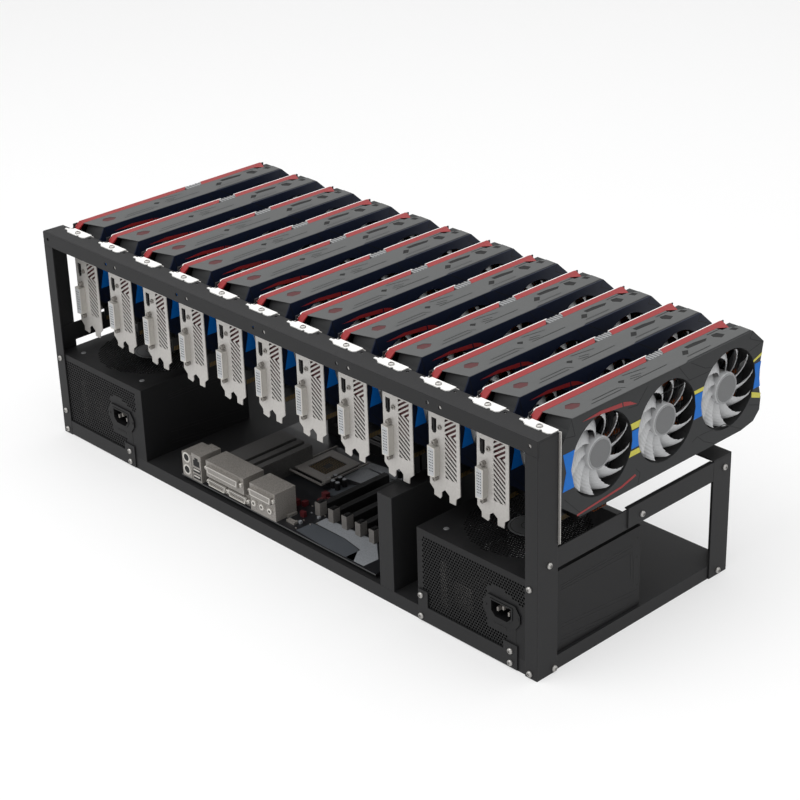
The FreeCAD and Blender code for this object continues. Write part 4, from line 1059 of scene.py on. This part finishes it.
def processor_frame(left, front, top):
    """The processor's socket: a frame with its clamp and levers, and the rows of contacts."""
    bm = bmesh.new()
    x, y, seat = left + 91, front + 86, top + 6
    top_plate(bm, [rect(x - 2, x + 44, y - 2, y + 52), rect(x + 7, x + 35, y + 9, y + 41)],
              seat, 1.6, 0)
    top_plate(bm, [rect(x + 7, x + 35, y + 9, y + 41)], seat + 0.1, 0.5, 1)
    for row in range(12):
        for column in range(11):
            if not (3 < row < 8 and 3 < column < 7):
                px, py = x + 8.6 + 2.45 * column, y + 10.6 + 2.5 * row
                block(bm, (px, py, seat + 0.6), (px + 1.1, py + 1.1, seat + 0.9), 2)
    for side, reach in ((-6, 62), (48, 58)):
        block(bm, (x + side, y - 8, seat), (x + side + 1.6, y + reach, seat + 2), 0)
    block(bm, (x - 6, y - 9.6, seat), (x + 49.6, y - 8, seat + 2), 0)
    block(bm, (x + 44, y - 4, seat), (x + 49, y + 6, seat + 3), 0)
    finish("processor_frame", bm, [SLOT_END, BLACK, GOLD], bevel=0.25)


def socket_trim(left, front, top):
    """The lighter ends of the expansion slots, and the grooves in all sockets, drawn as strips of
    painted shade.
    """
    bm = bmesh.new()
    for number in range(6):
        x = left + 173 + 20.32 * number
        front_plate(bm, [rect(x - 0.1, x + 7.5, top, top + 15.1)], front + 38.7, 0.5, 0)
        side_plate(bm, [rect(front + 38.8, front + 48.2, top, top + 15.1)], x + 7.3, 0.25, 0)
        top_plate(bm, [rect(x + 3.1, x + 4.3, front + 50, front + 135)], top + 11.15, 0.1, 1)
        block(bm, (x + 2.2, front + 42, top + 15), (x + 5.2, front + 47.5, top + 15.8), 2)
    for number in range(4):
        y = front + 172 + 9.6 * number
        top_plate(bm, [rect(left + 52, left + 176, y + 2.6, y + 4.0)], top + 12.05, 0.1, 1)
    finish("socket_trim", bm, [SLOT_END, SHADE_PIT, BLACK])


def detail_pieces():
    """Brackets, display ports, screws, power supplies, inlets and the motherboard's parts."""
    on_every_card("bracket", bracket_mesh, [BRACKET, TAB, SHADED_RED, SHADE_PIT],
                  "card_brackets", 0.12)
    on_every_card("display_ports", port_mesh, [SHELL, SILK_WHITE, SHADE_PIT, PORT_METAL],
                  "card_display_ports", 0.15)
    screw_heads()
    for build, name, mats, slot, nodes in (
            (supply_mesh, "supply", [SUPPLY_STEEL, FAN_HUB, STEEL, SHADE_PIT, PORT_METAL, LAMINATE],
             "supply_steel", ("supply_cases", "supply_covers")),
            (inlet_mesh, "inlet", [BLACK, PORT_METAL], "inlet_plastic", ("supply_inlets",))):
        mesh = one_mesh(name, build, mats)
        for side, place in zip(("left", "right"), SUPPLY_LEFT):
            made = stand(f"{name}_{side}", mesh, RIG, 0, shift(x=place))
            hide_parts(*nodes)
    left, front, top = BOARD_LOW.x, BOARD_LOW.y, BOARD_HIGH.z
    port_details(left, front, top)
    board_parts(left, top)
    processor_frame(left, front, top)
    socket_trim(left, front, top)


detail_pieces()


# Studio and camera

def seen_rays(nodes, links):
    """Camera, glossy and transmission rays together, as one factor."""
    ray = nodes.new("ShaderNodeLightPath")
    total = ray.outputs["Is Camera Ray"]
    for kind in ("Is Glossy Ray", "Is Transmission Ray"):
        both = nodes.new("ShaderNodeMath")
        both.operation = "ADD"
        both.use_clamp = True
        links.new(total, both.inputs[0])
        links.new(ray.outputs[kind], both.inputs[1])
        total = both.outputs[0]
    return total


def glow(mat, share):
    """Lifts the floor towards white where the camera sees it, and keeps its shadows."""
    nodes, links = mat.node_tree.nodes, mat.node_tree.links
    light = nodes.new("ShaderNodeEmission")
    scale = nodes.new("ShaderNodeMath")
    scale.operation = "MULTIPLY"
    scale.inputs[1].default_value = share
    mixed = nodes.new("ShaderNodeMixShader")
    links.new(seen_rays(nodes, links), scale.inputs[0])
    links.new(scale.outputs["Value"], mixed.inputs["Fac"])
    links.new(nodes["Principled BSDF"].outputs["BSDF"], mixed.inputs[1])
    links.new(light.outputs["Emission"], mixed.inputs[2])
    links.new(mixed.outputs["Shader"], nodes["Material Output"].inputs["Surface"])


WORLD_LIGHT, WORLD_SEEN, FLOOR_GLOW = 0.6, 1.0, 0.5


def studio():
    """A pale floor that curves up behind, a white world and soft lights."""
    bm = bmesh.new()
    reach, rise, bend = 6.0, 5.0, 1.5
    profile = [(-reach, 0.0), (reach - bend, 0.0)]
    for step in range(1, 13):
        angle = math.pi / 2 * step / 12
        profile.append((reach - bend + bend * math.sin(angle), bend - bend * math.cos(angle)))
    profile.append((reach, rise))
    verts = [[bm.verts.new((x, y, z)) for x in (-reach, reach)] for y, z in profile]
    for near, far in zip(verts, verts[1:]):
        bm.faces.new((near[0], near[1], far[1], far[0]))
    mesh = bpy.data.meshes.new("studio_floor")
    bm.to_mesh(mesh)
    bm.free()
    mesh.materials.append(FLOOR)
    glow(FLOOR, FLOOR_GLOW)
    mesh.shade_smooth()
    floor = linked("studio_floor", mesh)
    floor.rotation_euler.z = math.radians(CAMERA_AZIMUTH)
    world = bpy.data.worlds.new("studio")
    world.use_nodes = True
    nodes, links = world.node_tree.nodes, world.node_tree.links
    nodes["Background"].inputs["Color"].default_value = (1, 1, 1, 1)
    nodes["Background"].inputs["Strength"].default_value = WORLD_LIGHT
    seen = nodes.new("ShaderNodeBackground")
    seen.inputs["Strength"].default_value = WORLD_SEEN
    seen.inputs["Color"].default_value = (1, 1, 1, 1)
    mixed = nodes.new("ShaderNodeMixShader")
    links.new(seen_rays(nodes, links), mixed.inputs["Fac"])
    links.new(nodes["Background"].outputs["Background"], mixed.inputs[1])
    links.new(seen.outputs["Background"], mixed.inputs[2])
    links.new(mixed.outputs["Shader"], nodes["World Output"].inputs["Surface"])
    bpy.context.scene.world = world
    for name, place, target, size, power in (
            ("key", (-0.6, -1.6, 2.6), (0, 0, 0.1), 2.2, 40),
            ("fill", (2.4, -0.4, 1.6), (0, 0, 0.1), 2.0, 4),
            ("top", (0.3, 0.6, 3.0), (0, 0, 0.1), 2.5, 34)):
        lamp = bpy.data.lights.new(name, "AREA")
        lamp.size = size
        lamp.energy = power
        made = linked(name, lamp)
        made.location = place
        aim = Vector(target) - Vector(place)
        made.rotation_euler = aim.to_track_quat("-Z", "Y").to_euler()


CAMERA_AZIMUTH, CAMERA_ELEVATION, CAMERA_ROLL = 47.013, 26.025, -1.759
CAMERA_PLACE = Vector((1.3917, -1.2710, 1.0252))
CAMERA_LENS = 89.62


def camera():
    """The photograph's point of view."""
    azimuth, elevation, roll = (math.radians(a) for a in
                                (CAMERA_AZIMUTH, CAMERA_ELEVATION, CAMERA_ROLL))
    back = Vector((math.sin(azimuth) * math.cos(elevation),
                   -math.cos(azimuth) * math.cos(elevation), math.sin(elevation)))
    right = (-back).cross(Z).normalized()
    above = right.cross(-back)
    tilted = right * math.cos(roll) + above * math.sin(roll)
    above = back.cross(tilted)
    data = bpy.data.cameras.new("photo_view")
    data.lens = CAMERA_LENS
    data.sensor_width = 36
    data.clip_end = 50
    view = linked("photo_view", data)
    view.matrix_world = Matrix.Translation(CAMERA_PLACE) @ Matrix(
        (tilted, above, back)).transposed().to_4x4()
    bpy.context.scene.camera = view


studio()
camera()
bpy.context.scene.view_settings.view_transform = "Standard"
